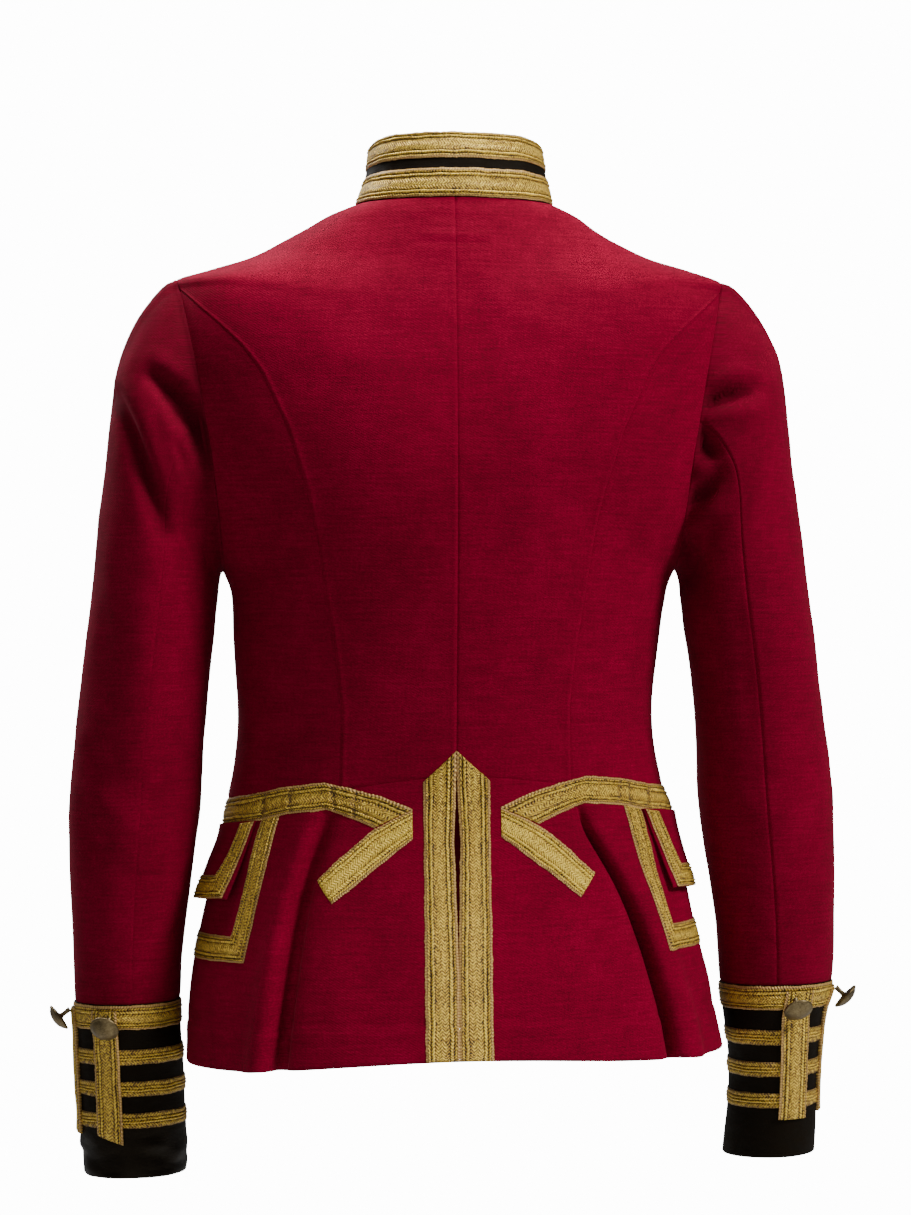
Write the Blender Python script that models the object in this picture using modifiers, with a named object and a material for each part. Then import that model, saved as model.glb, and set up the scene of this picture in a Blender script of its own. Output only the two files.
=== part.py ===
# Military style jacket, filled out as if worn, with nobody in it.
# The wearer faces -Y and the wearer's left is +X, so the photograph looks at the back from +Y.
# The origin is the middle of the neck opening, at the height of the nape seam.
# Tables and sizes are in millimetres; meshes are written in metres, +Z up.

import math

import bmesh
import bpy
import numpy as np
from mathutils import Matrix, Vector

COLLECTION = "military_style_jacket"
MM = 0.001

# Driving sizes
CLOTH = 2.0
COLLAR_WALL = 3.0
FLAP_WALL = 2.6
BRAID = 1.1
SEAM_GAP = 0.32
LIFT = 0.7
LAP = 12.0
LAP_INSET = CLOTH + 0.6
LAP_NECK_DROP = 0.75
LAP_INSET_FROM = 30.0
LAP_INSET_OVER = 13.0
LEVEL_ARC = math.radians(32)
SHOULDER_ROW = 6
PRINCESS_ROW = 7
PRINCESS_START = 7.4
UNDERARM_ROW = 19
WAIST_ROW = 25
TILT = 0.024
TILT_TOP = -200.0
TILT_FULL = -420.0

# Body sections from the neck seam to the hem. A section is level at the sides, half_left and
# half_right wide, and reaches back_y at height back_z and front_y at height front_z.
BODY_COLUMNS = ("side_z", "half_left", "half_right", "side_y",
                "back_z", "back_y", "front_z", "front_y", "roundness")
BODY_ROWS = (
    (0, 66, 71, 2, 0, 62, -75, -56, 1.00),
    (-8, 84.5, 88, 1, -11, 65.5, -82, -60, 1.20),
    (-17, 100, 101, -0.5, -22, 69, -89.5, -64.5, 1.36),
    (-26, 117, 116.5, -2, -34, 72.5, -98, -69.5, 1.46),
    (-36, 138, 138, -3.5, -47, 76, -107, -75, 1.50),
    (-44.5, 166.5, 167, -5, -60, 79.5, -116, -81, 1.34),
    (-52.5, 191, 190, -6, -71, 82.5, -125, -87, 1.15),
    (-60, 193, 191.5, -7, -82, 85.5, -133, -92, 1.05),
    (-68, 194, 192, -7.5, -93, 88, -141, -97, 0.97),
    (-80, 195, 194, -8, -106, 91, -151, -103, 0.92),
    (-95, 196, 195, -8, -120, 94, -161, -108, 0.90),
    (-112, 197, 196, -8, -135, 96.5, -172, -113, 0.92),
    (-132, 197, 196, -8, -152, 99, -185, -118, 0.96),
    (-153, 196.5, 195.5, -8, -170, 101, -199, -122, 1.00),
    (-175, 194, 193, -8, -188, 102, -214, -124.5, 1.06),
    (-198, 188, 187, -8, -207, 102, -229, -125.5, 1.10),
    (-220, 179, 178, -8, -225, 101, -243, -125.5, 1.12),
    (-238, 170, 169, -8, -242, 99.5, -257, -124.5, 1.12),
    (-249, 163, 162, -8, -256, 98, -269, -122.5, 1.10),
    (-255, 159, 158, -8, -268, 96.5, -280, -120.5, 1.06),
    (-272, 153.2, 151.8, -8, -286, 94, -297, -116.8, 1.02),
    (-297, 151.6, 147.4, -8, -307, 91, -316, -112.2, 0.99),
    (-326, 150, 143.8, -8, -330, 87.8, -339, -107.4, 0.98),
    (-355, 149, 141.8, -8, -353, 85.2, -364, -103.4, 0.97),
    (-383, 151.3, 143.6, -8, -376, 83, -390, -101, 0.97),
    (-410, 156, 149.5, -8, -396, 82, -412, -100, 0.97),
    (-424, 158.5, 154.5, -7, -412, 84, -426, -102, 0.96),
    (-440, 161, 157.5, -6.5, -429, 88, -442, -105, 0.96),
    (-457, 164.8, 160.8, -6, -447, 92.5, -459, -109, 0.96),
    (-475, 168.8, 164.8, -5.5, -467, 97.5, -477, -112.5, 0.96),
    (-495, 173.8, 169.2, -5, -489, 103, -497, -116.5, 0.96),
    (-517, 178.6, 174.5, -4, -513, 109, -519, -120, 0.96),
    (-541, 182, 180, -3, -538, 114.5, -542, -123, 0.96),
    (-566, 183.5, 184.5, -2, -561, 119.5, -566, -125.5, 0.96),
    (-592, 184.5, 190.5, 0, -584, 124, -590, -127, 0.96),
)

# Half-distance between the two armhole edges at each body row from the shoulder to the underarm
ARMHOLE_X = (None, 189, 187, 184.3, 181, 177.4, 173.7, 170, 166.2, 163.4, 161, 159.6, 158.6, None)

# Princess seam of the back, from the armhole to the waist
PRINCESS_COLUMNS = ("z", "x")
PRINCESS_ROWS = (
    (-60, 189), (-73.5, 176), (-87, 161), (-101.5, 146), (-119, 133), (-158, 115),
    (-200, 102), (-245, 93), (-306, 83), (-350, 78), (-396, 79), (-420, 80),
)

# Soft pleats of the skirt at its rows from the waist to the hem: how far from the middle each
# valley runs, and how deep it is
PLEAT_COLUMNS = ("back_left", "back_right", "front", "depth")
PLEAT_ROWS = (
    (82, 79, 84, 0),
    (86, 83.5, 89, 3),
    (91.5, 90, 94, 5),
    (97.5, 101, 99, 7),
    (103, 112, 104, 8.5),
    (107.5, 121.5, 108.5, 10),
    (111.5, 130, 112.5, 11.5),
    (115, 137.5, 116.5, 12.8),
    (118.5, 144.5, 120.5, 14),
    (121.5, 149.5, 125, 15),
)
PLEAT_VALLEY_WIDTH = 7.5
PLEAT_RIDGE_AT = 17.0
PLEAT_RIDGE_WIDTH = 12.0
PLEAT_VALLEY_SHARE = 0.5
PLEAT_RIDGE_SHARE = 0.5
PLEAT_COLUMNS_BACK = (-11.0, -4.0, 2.0, 9.0, 19.0, 33.0)
PLEAT_COLUMNS_FRONT = (19.0, 7.0, -2.0, -12.0)

# Vent at the centre back: half the width of the slit
VENT_COLUMNS = ("z", "half_gap")
VENT_ROWS = ((-390, 0.16), (-402, 0.3), (-420, 1.5), (-440, 2.1), (-470, 1.7), (-500, 0.9),
             (-519, 0.35), (-592, 0.3))

# Sleeve sections from the armhole to the cuff's edge: the outermost and innermost points, half
# the depth front to back, and where its middle stands front to back
SLEEVE_COLUMNS = ("outer_left", "outer_right", "outer_z", "inner_left", "inner_right", "inner_z",
                  "half_depth", "centre_y")
SLEEVE_ROWS = (
    (190, 190, -52, 159, 158, -255, 56, -9),
    (198.8, 199, -56, 160.2, 159.4, -257, 57.5, -9),
    (210, 211, -67.5, 160.8, 160.2, -259, 59, -8.5),
    (221, 222.3, -84, 161.1, 160.8, -261, 60, -8.2),
    (229.4, 230.8, -103, 161.4, 161.3, -263.2, 60.8, -8),
    (235, 235.3, -126, 161.7, 161.7, -266, 61.2, -7.6),
    (238.3, 238.3, -155, 162, 162, -270, 61.4, -7.2),
    (241.6, 241.6, -187, 162.5, 162.5, -276, 61.2, -6.8),
    (246, 246, -220, 163.4, 163.4, -284, 61, -6.3),
    (250, 250.4, -258, 164.8, 164.8, -296, 60, -5.6),
    (254.3, 255, -297, 167, 167.6, -314, 58.5, -4.8),
    (258, 259, -332, 169.5, 170.4, -338, 56.5, -4.2),
    (262.6, 263.8, -374, 172.6, 173, -376, 54, -4),
    (266.4, 269.2, -416, 174.6, 174.6, -416, 51.2, -5.2),
    (266.4, 271, -460, 180.2, 181, -460, 48.6, -7.8),
    (264.4, 271.3, -505, 185.8, 187.6, -505, 46, -10.8),
    (263.2, 270.6, -549.5, 188.6, 191, -549.5, 43.6, -14.2),
    (261.6, 264.6, -572, 188.4, 194, -572, 42.8, -16),
    (260.4, 261.6, -600, 186.6, 197.8, -600, 42, -18.5),
    (258.9, 260.6, -628, 185.6, 198.3, -628, 41.3, -21),
    (258.9, 260.6, -652, 184.2, 196, -652, 40.8, -23),
    (257.6, 259.6, -671.5, 184.6, 194.6, -671.5, 40.4, -25),
)
CUFF_ROW = 16
CUFF_END_ROW = 21
RING_POINTS = 26
CUFF_POINTS = 22
BACK_SEAM_AT = 7
FRONT_SEAM_AT = 17
CAP_FADE_ROWS = 6.0
ARMHOLE_GAP = SEAM_GAP + 0.1
SLEEVE_END_ROW_LENGTH = 25.0
RING_EVEN_ROWS = 9.0

# Cuff trimmings: heights are measured down from the cuff's top edge
CUFF_BRAID_HEIGHT = 17.0
CUFF_BARS = ((32.0, 42.0), (54.0, 64.0), (76.0, 86.0))
BAR_BRAID = BRAID - 0.2
TAB_WIDTH = 21.0
TAB_TOP = 3.0
TAB_STATIONS = 8
TAB_LIFT = LIFT + BRAID + 0.4
TAB_BUTTON_DOWN = 13.0
# Where each tab stands round the cuff, and its length and pointed end on the left and right sleeve
TABS = {
    "back": {"degrees": 73.0, "length": (96.0, 94.0), "point": (6.0, 0.0)},
    "outer": {"degrees": 8.0, "length": (92.0, 92.0), "point": (0.0, 0.0)},
}

# Collar sections from the neck seam to the top edge
COLLAR_COLUMNS = ("half_left", "half_right", "side_y", "side_z", "back_y", "back_z",
                  "front_y", "front_z")
COLLAR_ROWS = (
    (66, 71, 2, 0, 62, 0, -56, -75),
    (61.3, 68.2, -0.5, 13.5, 60.4, 15, -59, -61.5),
    (58.6, 65.8, -2.5, 27, 57.4, 30.2, -61.5, -48),
    (57, 63.6, -4, 40.5, 53.5, 45.5, -64, -35),
)
COLLAR_HEIGHT = 46.0
COLLAR_MIDDLE_ROW = 1.4
COLLAR_BRAID_LIFT = 0.4
COLLAR_BACK_LEVEL = math.radians(50)
COLLAR_STRIPES = (("lower", 0.6, 20.2), ("upper", 27.6, 45.4))
COLLAR_FRONT_GAP = 1.6

# Braids on the body, as (distance round from the centre back, height). The waist braid comes along
# its route from the front, ends in a fold beside the vent, and its tail hangs back over it; the
# fold and the tail are given by their upper and lower edges.
WAIST_WIDTH = 19.0
WAIST_ROUTE = ((90.5, -407), (119, -409.5), (147.5, -415), (200, -421), (272, -423))
WAIST_FOLD = (((30.2, -416.6), (30.2, -420.3)), ((52.0, -407.5), (56.5, -428.9)))
WAIST_TAIL = (((30.2, -420.7), (30.2, -436.9)), ((56.5, -429.4), (48.0, -450.4)),
              ((97.1, -464.3), (85.9, -479.7)))
# Vent braid: heights of its inner and outer edge, and how far out the outer edge is
VENT_BRAID_ROWS = ((-378.0, -378.5, 1.0), (-394.6, -398.6, 22.5), (-405, -405, 22.5),
                   (-420, -420, 22.5), (-440, -440, 22.5), (-470, -470, 22.5),
                   (-500, -500, 22.5), (-519, -519, 22.5), (-550, -550, 22.5),
                   (-583.8, -583.8, 22.5))
VENT_BRAID_EASE = 0.2

# Pocket: distances are measured backward from the side line, heights down the skirt
POCKET_WIDTH = 17.0
POCKET_TOP = -434.5
POCKET_ROUTE = ((73.0, -432.4), (61.0, -511.0), (-62.0, -511.0), (-57.0, -435.4))
FLAP_BACK = ((59.0, -432.4), (41.0, -480.0))
FLAP_FRONT = ((-48.0, -484.0), (-44.0, -435.0))
FLAP_CLEAR = 0.8
FLAP_BRAID_WIDTH = 15.0
FLAP_BRAID_LIFT = 0.5
FLAP_BORDER = 0.8
FLAP_BRAID_START = -0.6
FLAP_LIFT_LEFT = 6.0
FLAP_LIFT_RIGHT = 3.0

# Domed button, shank down: radius and height of its profile from the rim's crown to the shank
BUTTON_PROFILE = ((0.0, 6.0), (5.2, 5.3), (8.9, 3.1), (10.2, 1.0), (6.4, 0.0), (2.2, -0.3),
                  (2.2, -8.0), (0.0, -8.0))
FRONT_BUTTON_PROFILE = ((0.0, 5.6), (4.8, 4.9), (8.3, 2.9), (9.4, 1.0), (5.8, 0.0), (2.2, -0.2),
                        (2.2, -1.6), (0.0, -1.6))
BUTTON_SHANK_RADIUS = 2.2
CUFF_BUTTON_CLEAR = 0.2
FRONT_BUTTON_CLEAR = 0.45
BUTTON_SIDES = 10
BUTTON_DROOP_LEFT = math.radians(36)
BUTTON_DROOP_RIGHT = math.radians(44)
FRONT_BUTTON_ROWS = (1.4, 5.2, 9.3, 13.0, 16.6, 20.3, 24.0)

# Columns of points across the panels
BACK_SHARES = np.linspace(0, 1, 7)
SIDE_SHARES = np.linspace(0, 1, 6)
FRONT_COLUMNS = 6
LAP_COLUMNS = (30.0, 15.0)

# Finishes: colour, roughness, metallic
FINISHES = {
    "red_cloth": ((0.23, 0.002, 0.012, 1), 0.85, 0.0),
    "black_cloth": ((0.012, 0.009, 0.008, 1), 0.8, 0.0),
    "gold_braid": ((0.48, 0.33, 0.09, 1), 0.5, 0.35),
    "antique_brass": ((0.16, 0.12, 0.055, 1), 0.4, 0.9),
}


def table(columns, rows):
    return {name: np.array(values, float) for name, values in zip(columns, zip(*rows))}


BODY = table(BODY_COLUMNS, BODY_ROWS)
SLEEVE = table(SLEEVE_COLUMNS, SLEEVE_ROWS)
COLLAR = table(COLLAR_COLUMNS, COLLAR_ROWS)
PRINCESS = table(PRINCESS_COLUMNS, PRINCESS_ROWS)
PLEATS = table(PLEAT_COLUMNS, PLEAT_ROWS)
VENT = table(VENT_COLUMNS, VENT_ROWS)
HEM_ROW = len(BODY_ROWS) - 1


def through(values, t):
    # smooth curve through evenly numbered values, read at row t
    last = len(values) - 1
    t = np.clip(np.asarray(t, float), 0, last)
    i = np.clip(np.floor(t).astype(int), 0, last - 1)
    f = t - i
    p0 = values[np.maximum(i - 1, 0)]
    p1 = values[i]
    p2 = values[i + 1]
    p3 = values[np.minimum(i + 2, last)]
    square = 2 * p0 - 5 * p1 + 4 * p2 - p3
    cube = 3 * p1 - p0 - 3 * p2 + p3
    return 0.5 * (2 * p1 + (p2 - p0) * f + square * f ** 2 + cube * f ** 3)


def smoothstep(x):
    x = np.clip(x, 0, 1)
    return x * x * (3 - 2 * x)


def down(column_z, column_values, z):
    # reads a table whose heights run downward
    return np.interp(-np.asarray(z, float), -column_z, column_values)


def side_word(side):
    return "left" if side > 0 else "right"


def unit(vectors):
    return vectors / np.maximum(np.linalg.norm(vectors, axis=-1, keepdims=True), 1e-9)


def half_width(side, t):
    return through(BODY["half_" + side_word(side)], t)


def swing_of(u):
    # 0 in the level stretch at the side, 1 at the centre back and the centre front
    turned = np.minimum(np.abs(u), math.pi - np.abs(u))
    return smoothstep((turned - LEVEL_ARC) / (math.pi / 2 - LEVEL_ARC))


def pleat_relief(side, t, u, depth_y):
    # outward displacement of the skirt beside its two soft pleats
    w = half_width(side, t)
    row = t - WAIST_ROW
    relief = np.zeros_like(u)
    for face, column, share in ((1, "back_" + side_word(side), 1.0), (-1, "front", 0.7)):
        x = through(PLEATS[column], row)
        deep = share * through(PLEATS["depth"], row)
        valley = np.arccos(np.clip(x / w, 0, 0.999))
        per_radian = np.hypot(w * np.sin(valley), depth_y * np.cos(valley))
        away = (valley - face * u) * per_radian
        dip = PLEAT_VALLEY_SHARE * np.exp(-(away / PLEAT_VALLEY_WIDTH) ** 2)
        rise = PLEAT_RIDGE_SHARE * np.exp(-((away - PLEAT_RIDGE_AT) / PLEAT_RIDGE_WIDTH) ** 2)
        relief = relief + np.where(face * u > 0, deep * (rise - dip), 0)
    return relief


def body_point(side, t, u):
    # t runs down the rows; u runs round: 90 degrees at the centre back, 0 at the side line
    t, u = np.broadcast_arrays(np.asarray(t, float), np.asarray(u, float))
    back = u >= 0
    far_y = np.where(back, through(BODY["back_y"], t), through(BODY["front_y"], t))
    far_z = np.where(back, through(BODY["back_z"], t), through(BODY["front_z"], t))
    side_y = through(BODY["side_y"], t)
    side_z = through(BODY["side_z"], t)
    swing = swing_of(u)
    w = half_width(side, t)
    x = w * np.cos(u)
    depth = np.abs(far_y - side_y)
    y = side_y + (far_y - side_y) * np.abs(np.sin(u)) ** through(BODY["roundness"], t)
    z = side_z + (far_z - side_z) * swing
    relief = pleat_relief(side, t, u, depth)
    outward = np.stack([depth * np.cos(u), w * np.sin(u)], axis=-1)
    outward = unit(outward)
    x = x + relief * outward[..., 0]
    y = y + relief * outward[..., 1]
    return np.stack([side * x, y, z], axis=-1)


def frame_of(surface, a, b, step_a, step_b, flip):
    # point and outward unit normal of a surface read by two numbers
    point = surface(a, b)
    along_a = surface(a + step_a, b) - surface(a - step_a, b)
    along_b = surface(a, b + step_b) - surface(a, b - step_b)
    return point, unit(np.cross(along_a, along_b)) * flip


def body_frame(side, t, u):
    t, u = np.broadcast_arrays(np.asarray(t, float), np.asarray(u, float))
    inner_t = np.clip(t, 0.06, HEM_ROW - 0.06)
    normal = frame_of(lambda a, b: body_point(side, a, b), inner_t, u, 0.05, 0.02, side)[1]
    return body_point(side, t, u), normal


def per_row(side, t, u):
    return np.linalg.norm(body_point(side, t + 0.05, u) - body_point(side, t - 0.05, u)) / 0.1


def per_turn(side, t, u):
    return np.linalg.norm(body_point(side, t, u + 0.01) - body_point(side, t, u - 0.01)) / 0.02


# Distance round from the centre back at each row, and the height of each row, read by angle
ROUND_ANGLES = np.linspace(math.pi / 2, -math.pi / 2 - 0.1, 181)


def chart_of(side):
    rows = np.arange(len(BODY_ROWS))[:, None]
    points = body_point(side, rows, ROUND_ANGLES[None, :])
    steps = np.linalg.norm(np.diff(points[..., :2], axis=1), axis=-1)
    length = np.concatenate([np.zeros((len(BODY_ROWS), 1)), np.cumsum(steps, axis=1)], axis=1)
    return length, points[..., 2]


CHARTS = {side: chart_of(side) for side in (1, -1)}


def body_at(side, distance, z):
    # row and angle of the place at a distance round from the centre back and a height
    length, height = CHARTS[side]
    rows = np.arange(len(BODY_ROWS))
    t = WAIST_ROW
    u = 0.0
    for _ in range(12):
        low = int(min(math.floor(t), HEM_ROW - 1))
        ring = length[low] + (length[low + 1] - length[low]) * (t - low)
        u = float(np.interp(distance, ring, ROUND_ANGLES))
        heights = [np.interp(-u, -ROUND_ANGLES, row) for row in height]
        t = float(np.interp(-z, -np.array(heights), rows))
    return t, u


def side_distance(side, z):
    # distance round from the centre back to the side line at a height
    t = float(np.interp(-z, -BODY["side_z"], np.arange(len(BODY_ROWS))))
    ring = through(CHARTS[side][0], t)
    return float(np.interp(0.0, -ROUND_ANGLES, ring))


def angle_at_x(side, t, x):
    return math.acos(min(x / float(half_width(side, t)), 1.0))


def armhole_angle(side, t):
    # 0 above the shoulder and below the underarm, else the angle of the armhole's edge
    if t <= SHOULDER_ROW or t >= UNDERARM_ROW:
        return 0.0
    known = [float(half_width(side, SHOULDER_ROW))]
    known += list(ARMHOLE_X[1:-1])
    known.append(float(half_width(side, UNDERARM_ROW)))
    x = float(np.interp(t - SHOULDER_ROW, np.arange(len(known)), known))
    return angle_at_x(side, t, x)


def princess_angle(side, t):
    u = math.pi / 4
    for _ in range(20):
        z = float(body_point(side, t, u)[2])
        u = angle_at_x(side, t, float(down(PRINCESS["z"], PRINCESS["x"], z)))
    return u


def settle(points):
    # the lower part of the jacket hangs a little lower on the wearer's left
    points = np.array(points, float)
    share = smoothstep((TILT_TOP - points[..., 2]) / (TILT_TOP - TILT_FULL))
    points[..., 2] -= TILT * points[..., 0] * share
    return points


def new_object(name, mesh, finish, collection):
    mesh.materials.append(finish)
    piece = bpy.data.objects.new(name, mesh)
    collection.objects.link(piece)
    return piece


def wall(name, outer, inner, finish, collection, closed=False):
    # a sheet of cloth: outer and inner points on the same rows and columns, joined at the edges
    rows, columns = outer.shape[:2]
    skins = []
    form = bmesh.new()
    for points in (settle(outer), settle(inner)):
        skins.append([[form.verts.new(p * MM) for p in row] for row in points])
    spans = columns if closed else columns - 1
    for skin in skins:
        for r in range(rows - 1):
            for c in range(spans):
                d = (c + 1) % columns
                form.faces.new((skin[r][c], skin[r][d], skin[r + 1][d], skin[r + 1][c]))
    edges = [(r, c, r, (c + 1) % columns) for r in (0, rows - 1) for c in range(spans)]
    if not closed:
        edges += [(r, c, r + 1, c) for c in (0, columns - 1) for r in range(rows - 1)]
    for r, c, q, d in edges:
        form.faces.new((skins[0][r][c], skins[0][q][d], skins[1][q][d], skins[1][r][c]))
    bmesh.ops.recalc_face_normals(form, faces=form.faces)
    mesh = bpy.data.meshes.new(name)
    form.to_mesh(mesh)
    form.free()
    mesh.shade_smooth()
    mesh.set_sharp_from_angle(angle=math.radians(50))
    return new_object(name, mesh, finish, collection)


def panel_angles(side, t, u_start, u_end, shares):
    # angles across a panel at one row, drawn in by half the seam gap at both edges
    start = u_start - 0.5 * SEAM_GAP / per_turn(side, t, u_start)
    end = u_end + 0.5 * SEAM_GAP / per_turn(side, t, u_end)
    return start + (end - start) * shares


def seam_rows(side, rows, first_seam, last_seam):
    # rows with the first and last drawn in where they meet a seam
    rows = [float(t) for t in rows]
    if first_seam:
        rows[0] += 0.5 * SEAM_GAP / per_row(side, rows[0], LEVEL_ARC)
    if last_seam:
        rows[-1] -= 0.5 * SEAM_GAP / per_row(side, rows[-1], LEVEL_ARC)
    return rows


def panel(name, side, rows, angles_at, finish, collection, inset_at=None):
    outer = []
    inner = []
    for t in rows:
        angles = angles_at(t)
        at = np.full(len(angles), float(t))
        if t == 0 and angles[-1] < 0:
            at[-1] += LAP_NECK_DROP
        point, normal = body_frame(side, at, angles)
        if inset_at is not None:
            point = point - normal * inset_at(side * point[:, 0])[:, None]
        outer.append(point)
        inner.append(point - normal * CLOTH)
    return wall(name, np.array(outer), np.array(inner), finish, collection)


def back_panel(side, finish, collection):
    shares = BACK_SHARES

    def angles(t):
        if t <= PRINCESS_ROW:
            edge = armhole_angle(side, t)
        else:
            edge = princess_angle(side, t)
        return panel_angles(side, t, math.pi / 2, edge, shares)

    rows = sorted(list(range(WAIST_ROW + 1)) + [PRINCESS_START])
    rows = seam_rows(side, rows, False, True)
    panel("back_" + side_word(side), side, rows, angles, finish, collection)


def side_back_panel(side, finish, collection):
    def angles(t):
        return panel_angles(side, t, princess_angle(side, t), armhole_angle(side, t), SIDE_SHARES)

    rows = [PRINCESS_START] + list(range(PRINCESS_ROW + 1, WAIST_ROW + 1))
    rows = seam_rows(side, rows, False, True)
    panel("side_back_" + side_word(side), side, rows, angles, finish, collection)


def front_angles(side, t, edge):
    # even steps from the side, then the columns of the lap at the centre front
    w = float(half_width(side, t))
    start = -edge - 0.5 * SEAM_GAP / per_turn(side, t, -edge)
    near = -math.acos(LAP_COLUMNS[0] / w)
    lap = [-math.acos(x / w) for x in (LAP_COLUMNS[1], COLLAR_FRONT_GAP, -LAP)]
    return np.array(list(np.linspace(start, near, FRONT_COLUMNS)) + lap)


def lap_inset(side):
    # the left front lies under the right one
    if side < 0:
        return None
    return lambda x: LAP_INSET * smoothstep((LAP_INSET_FROM - x) / LAP_INSET_OVER)


def front_panel(side, finish, collection):
    rows = seam_rows(side, range(WAIST_ROW + 1), False, True)
    panel("front_" + side_word(side), side, rows,
          lambda t: front_angles(side, t, armhole_angle(side, t)),
          finish, collection, lap_inset(side))


def skirt_rows(side):
    return seam_rows(side, range(WAIST_ROW, HEM_ROW + 1), True, False)


def pleat_angles(side, t, face):
    # columns that gather where the pleat is; face is +1 on the back and -1 on the front
    column = "back_" + side_word(side) if face > 0 else "front"
    offsets = PLEAT_COLUMNS_BACK if face > 0 else PLEAT_COLUMNS_FRONT
    w = float(half_width(side, t))
    valley = math.acos(float(through(PLEATS[column], t - WAIST_ROW)) / w)
    per = per_turn(side, t, face * valley)
    return [face * (valley - away / per) for away in offsets]


def below_waist(t, at_waist, below):
    # the columns start as those of the panel above the waist seam and drift to the pleat's own
    share = smoothstep((t - WAIST_ROW) / 2.0)
    return np.array(at_waist) + (np.array(below) - np.array(at_waist)) * share


def skirt_back_panel(side, finish, collection):
    back = panel_angles(side, WAIST_ROW, math.pi / 2, princess_angle(side, WAIST_ROW), BACK_SHARES)
    flank = panel_angles(side, WAIST_ROW, princess_angle(side, WAIST_ROW), 0.0, SIDE_SHARES)
    at_waist = list(back) + list(flank)[1:]

    def angles(t):
        w = float(half_width(side, t))
        z = float(body_point(side, t, math.pi / 2)[2])
        start = math.acos(float(down(VENT["z"], VENT["half_gap"], z)) / w)
        end = 0.5 * SEAM_GAP / per_turn(side, t, 0.0)
        pleat = pleat_angles(side, t, 1)
        below = list(np.linspace(start, pleat[0], 4)[:-1]) + pleat
        below += list(np.linspace(pleat[-1], end, 4)[1:])
        return below_waist(t, at_waist, below)

    panel("skirt_back_" + side_word(side), side, skirt_rows(side), angles, finish, collection)


def skirt_front_panel(side, finish, collection):
    at_waist = front_angles(side, WAIST_ROW, 0.0)

    def angles(t):
        plain = front_angles(side, t, 0.0)
        pleat = pleat_angles(side, t, -1)
        below = [plain[0]] + pleat + list(plain[FRONT_COLUMNS - 1:])
        return below_waist(t, at_waist, below)

    panel("skirt_front_" + side_word(side), side, skirt_rows(side), angles, finish, collection,
          lap_inset(side))


def armhole_loop(side):
    # points of the armhole from the shoulder down the back edge and up the front edge
    rows = list(range(SHOULDER_ROW, UNDERARM_ROW + 1))
    back = [body_point(side, t, armhole_angle(side, t)) for t in rows]
    front = [body_point(side, t, -armhole_angle(side, t)) for t in rows[-2:0:-1]]
    points = np.array(back + front)
    points[:, 0] *= side
    return points


class Sleeve:
    # rings of the sleeve and cuff of one side, worked in the wearer's left and mirrored
    def __init__(self, side):
        self.side = side
        self.outer_name = "outer_" + side_word(side)
        self.inner_name = "inner_" + side_word(side)
        loop = armhole_loop(side)
        top = loop[0]
        low = loop[RING_POINTS // 2]
        centre = (top + low) / 2
        along = unit((top - low) * np.array([1, 0, 1]))
        half = np.linalg.norm(((top - low) * np.array([1, 0, 1]))) / 2
        self.plane_normal = np.array([along[2], 0, -along[0]])
        depth = SLEEVE["half_depth"][0]
        middle = SLEEVE["centre_y"][0]
        across = (loop[:, 1] - middle) / depth
        upward = (loop - centre) @ along / half
        angles = np.unwrap(np.arctan2(across, upward))
        angles -= angles[0]
        self.arm_angles = np.append(angles, 2 * math.pi)
        ellipse = self.ellipse(np.zeros(RING_POINTS), self.arm_angles[:-1])
        self.difference = np.vstack([loop - ellipse, (loop - ellipse)[:1]])

    def ellipse(self, v, angle):
        outer = np.stack([through(SLEEVE[self.outer_name], v), through(SLEEVE["outer_z"], v)], -1)
        inner = np.stack([through(SLEEVE[self.inner_name], v), through(SLEEVE["inner_z"], v)], -1)
        centre = (outer + inner) / 2
        reach = (outer - inner) / 2 * np.cos(angle)[..., None]
        y = through(SLEEVE["centre_y"], v) + through(SLEEVE["half_depth"], v) * np.sin(angle)
        return np.stack([centre[..., 0] + reach[..., 0], y, centre[..., 1] + reach[..., 1]], -1)

    def angle(self, v, j):
        j = np.asarray(j, float)
        turns = np.floor(j / RING_POINTS)
        rest = j - turns * RING_POINTS
        known = np.interp(rest, np.arange(RING_POINTS + 1), self.arm_angles)
        even = rest / RING_POINTS * 2 * math.pi
        share = smoothstep(np.asarray(v, float) / RING_EVEN_ROWS)
        return known + (even - known) * share + turns * 2 * math.pi

    def point_at(self, v, angle):
        # +X side of the wearer; the caller mirrors
        v, angle = np.broadcast_arrays(np.asarray(v, float), np.asarray(angle, float))
        rest = np.mod(angle, 2 * math.pi)
        fade = (1 - smoothstep(v / CAP_FADE_ROWS))[..., None]
        extra = np.stack([np.interp(rest, self.arm_angles, self.difference[:, k])
                          for k in range(3)], -1)
        return self.ellipse(v, angle) + fade * extra

    def frame(self, v, angle):
        v, angle = np.broadcast_arrays(np.asarray(v, float), np.asarray(angle, float))
        inside = np.clip(v, 0.02, CUFF_END_ROW - 0.02)
        normal = frame_of(self.point_at, inside, angle, 0.02, 0.02, 1)[1]
        point = self.point_at(v, angle)
        centre = self.ellipse(v, np.full_like(v, math.pi / 2)) / 2
        centre = centre + self.ellipse(v, np.full_like(v, -math.pi / 2)) / 2
        facing = np.sign(np.sum((point - centre) * normal, axis=-1, keepdims=True))
        return point, normal * facing

    def mirrored(self, points):
        return points * np.array([self.side, 1, 1])

    def row_at(self, depth_down):
        # row of the ring that lies a distance below the cuff's top edge
        z = SLEEVE["outer_z"][CUFF_ROW] - depth_down
        return float(np.interp(-z, -SLEEVE["outer_z"][CUFF_ROW:],
                               np.arange(CUFF_ROW, CUFF_END_ROW + 1)))


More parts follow.
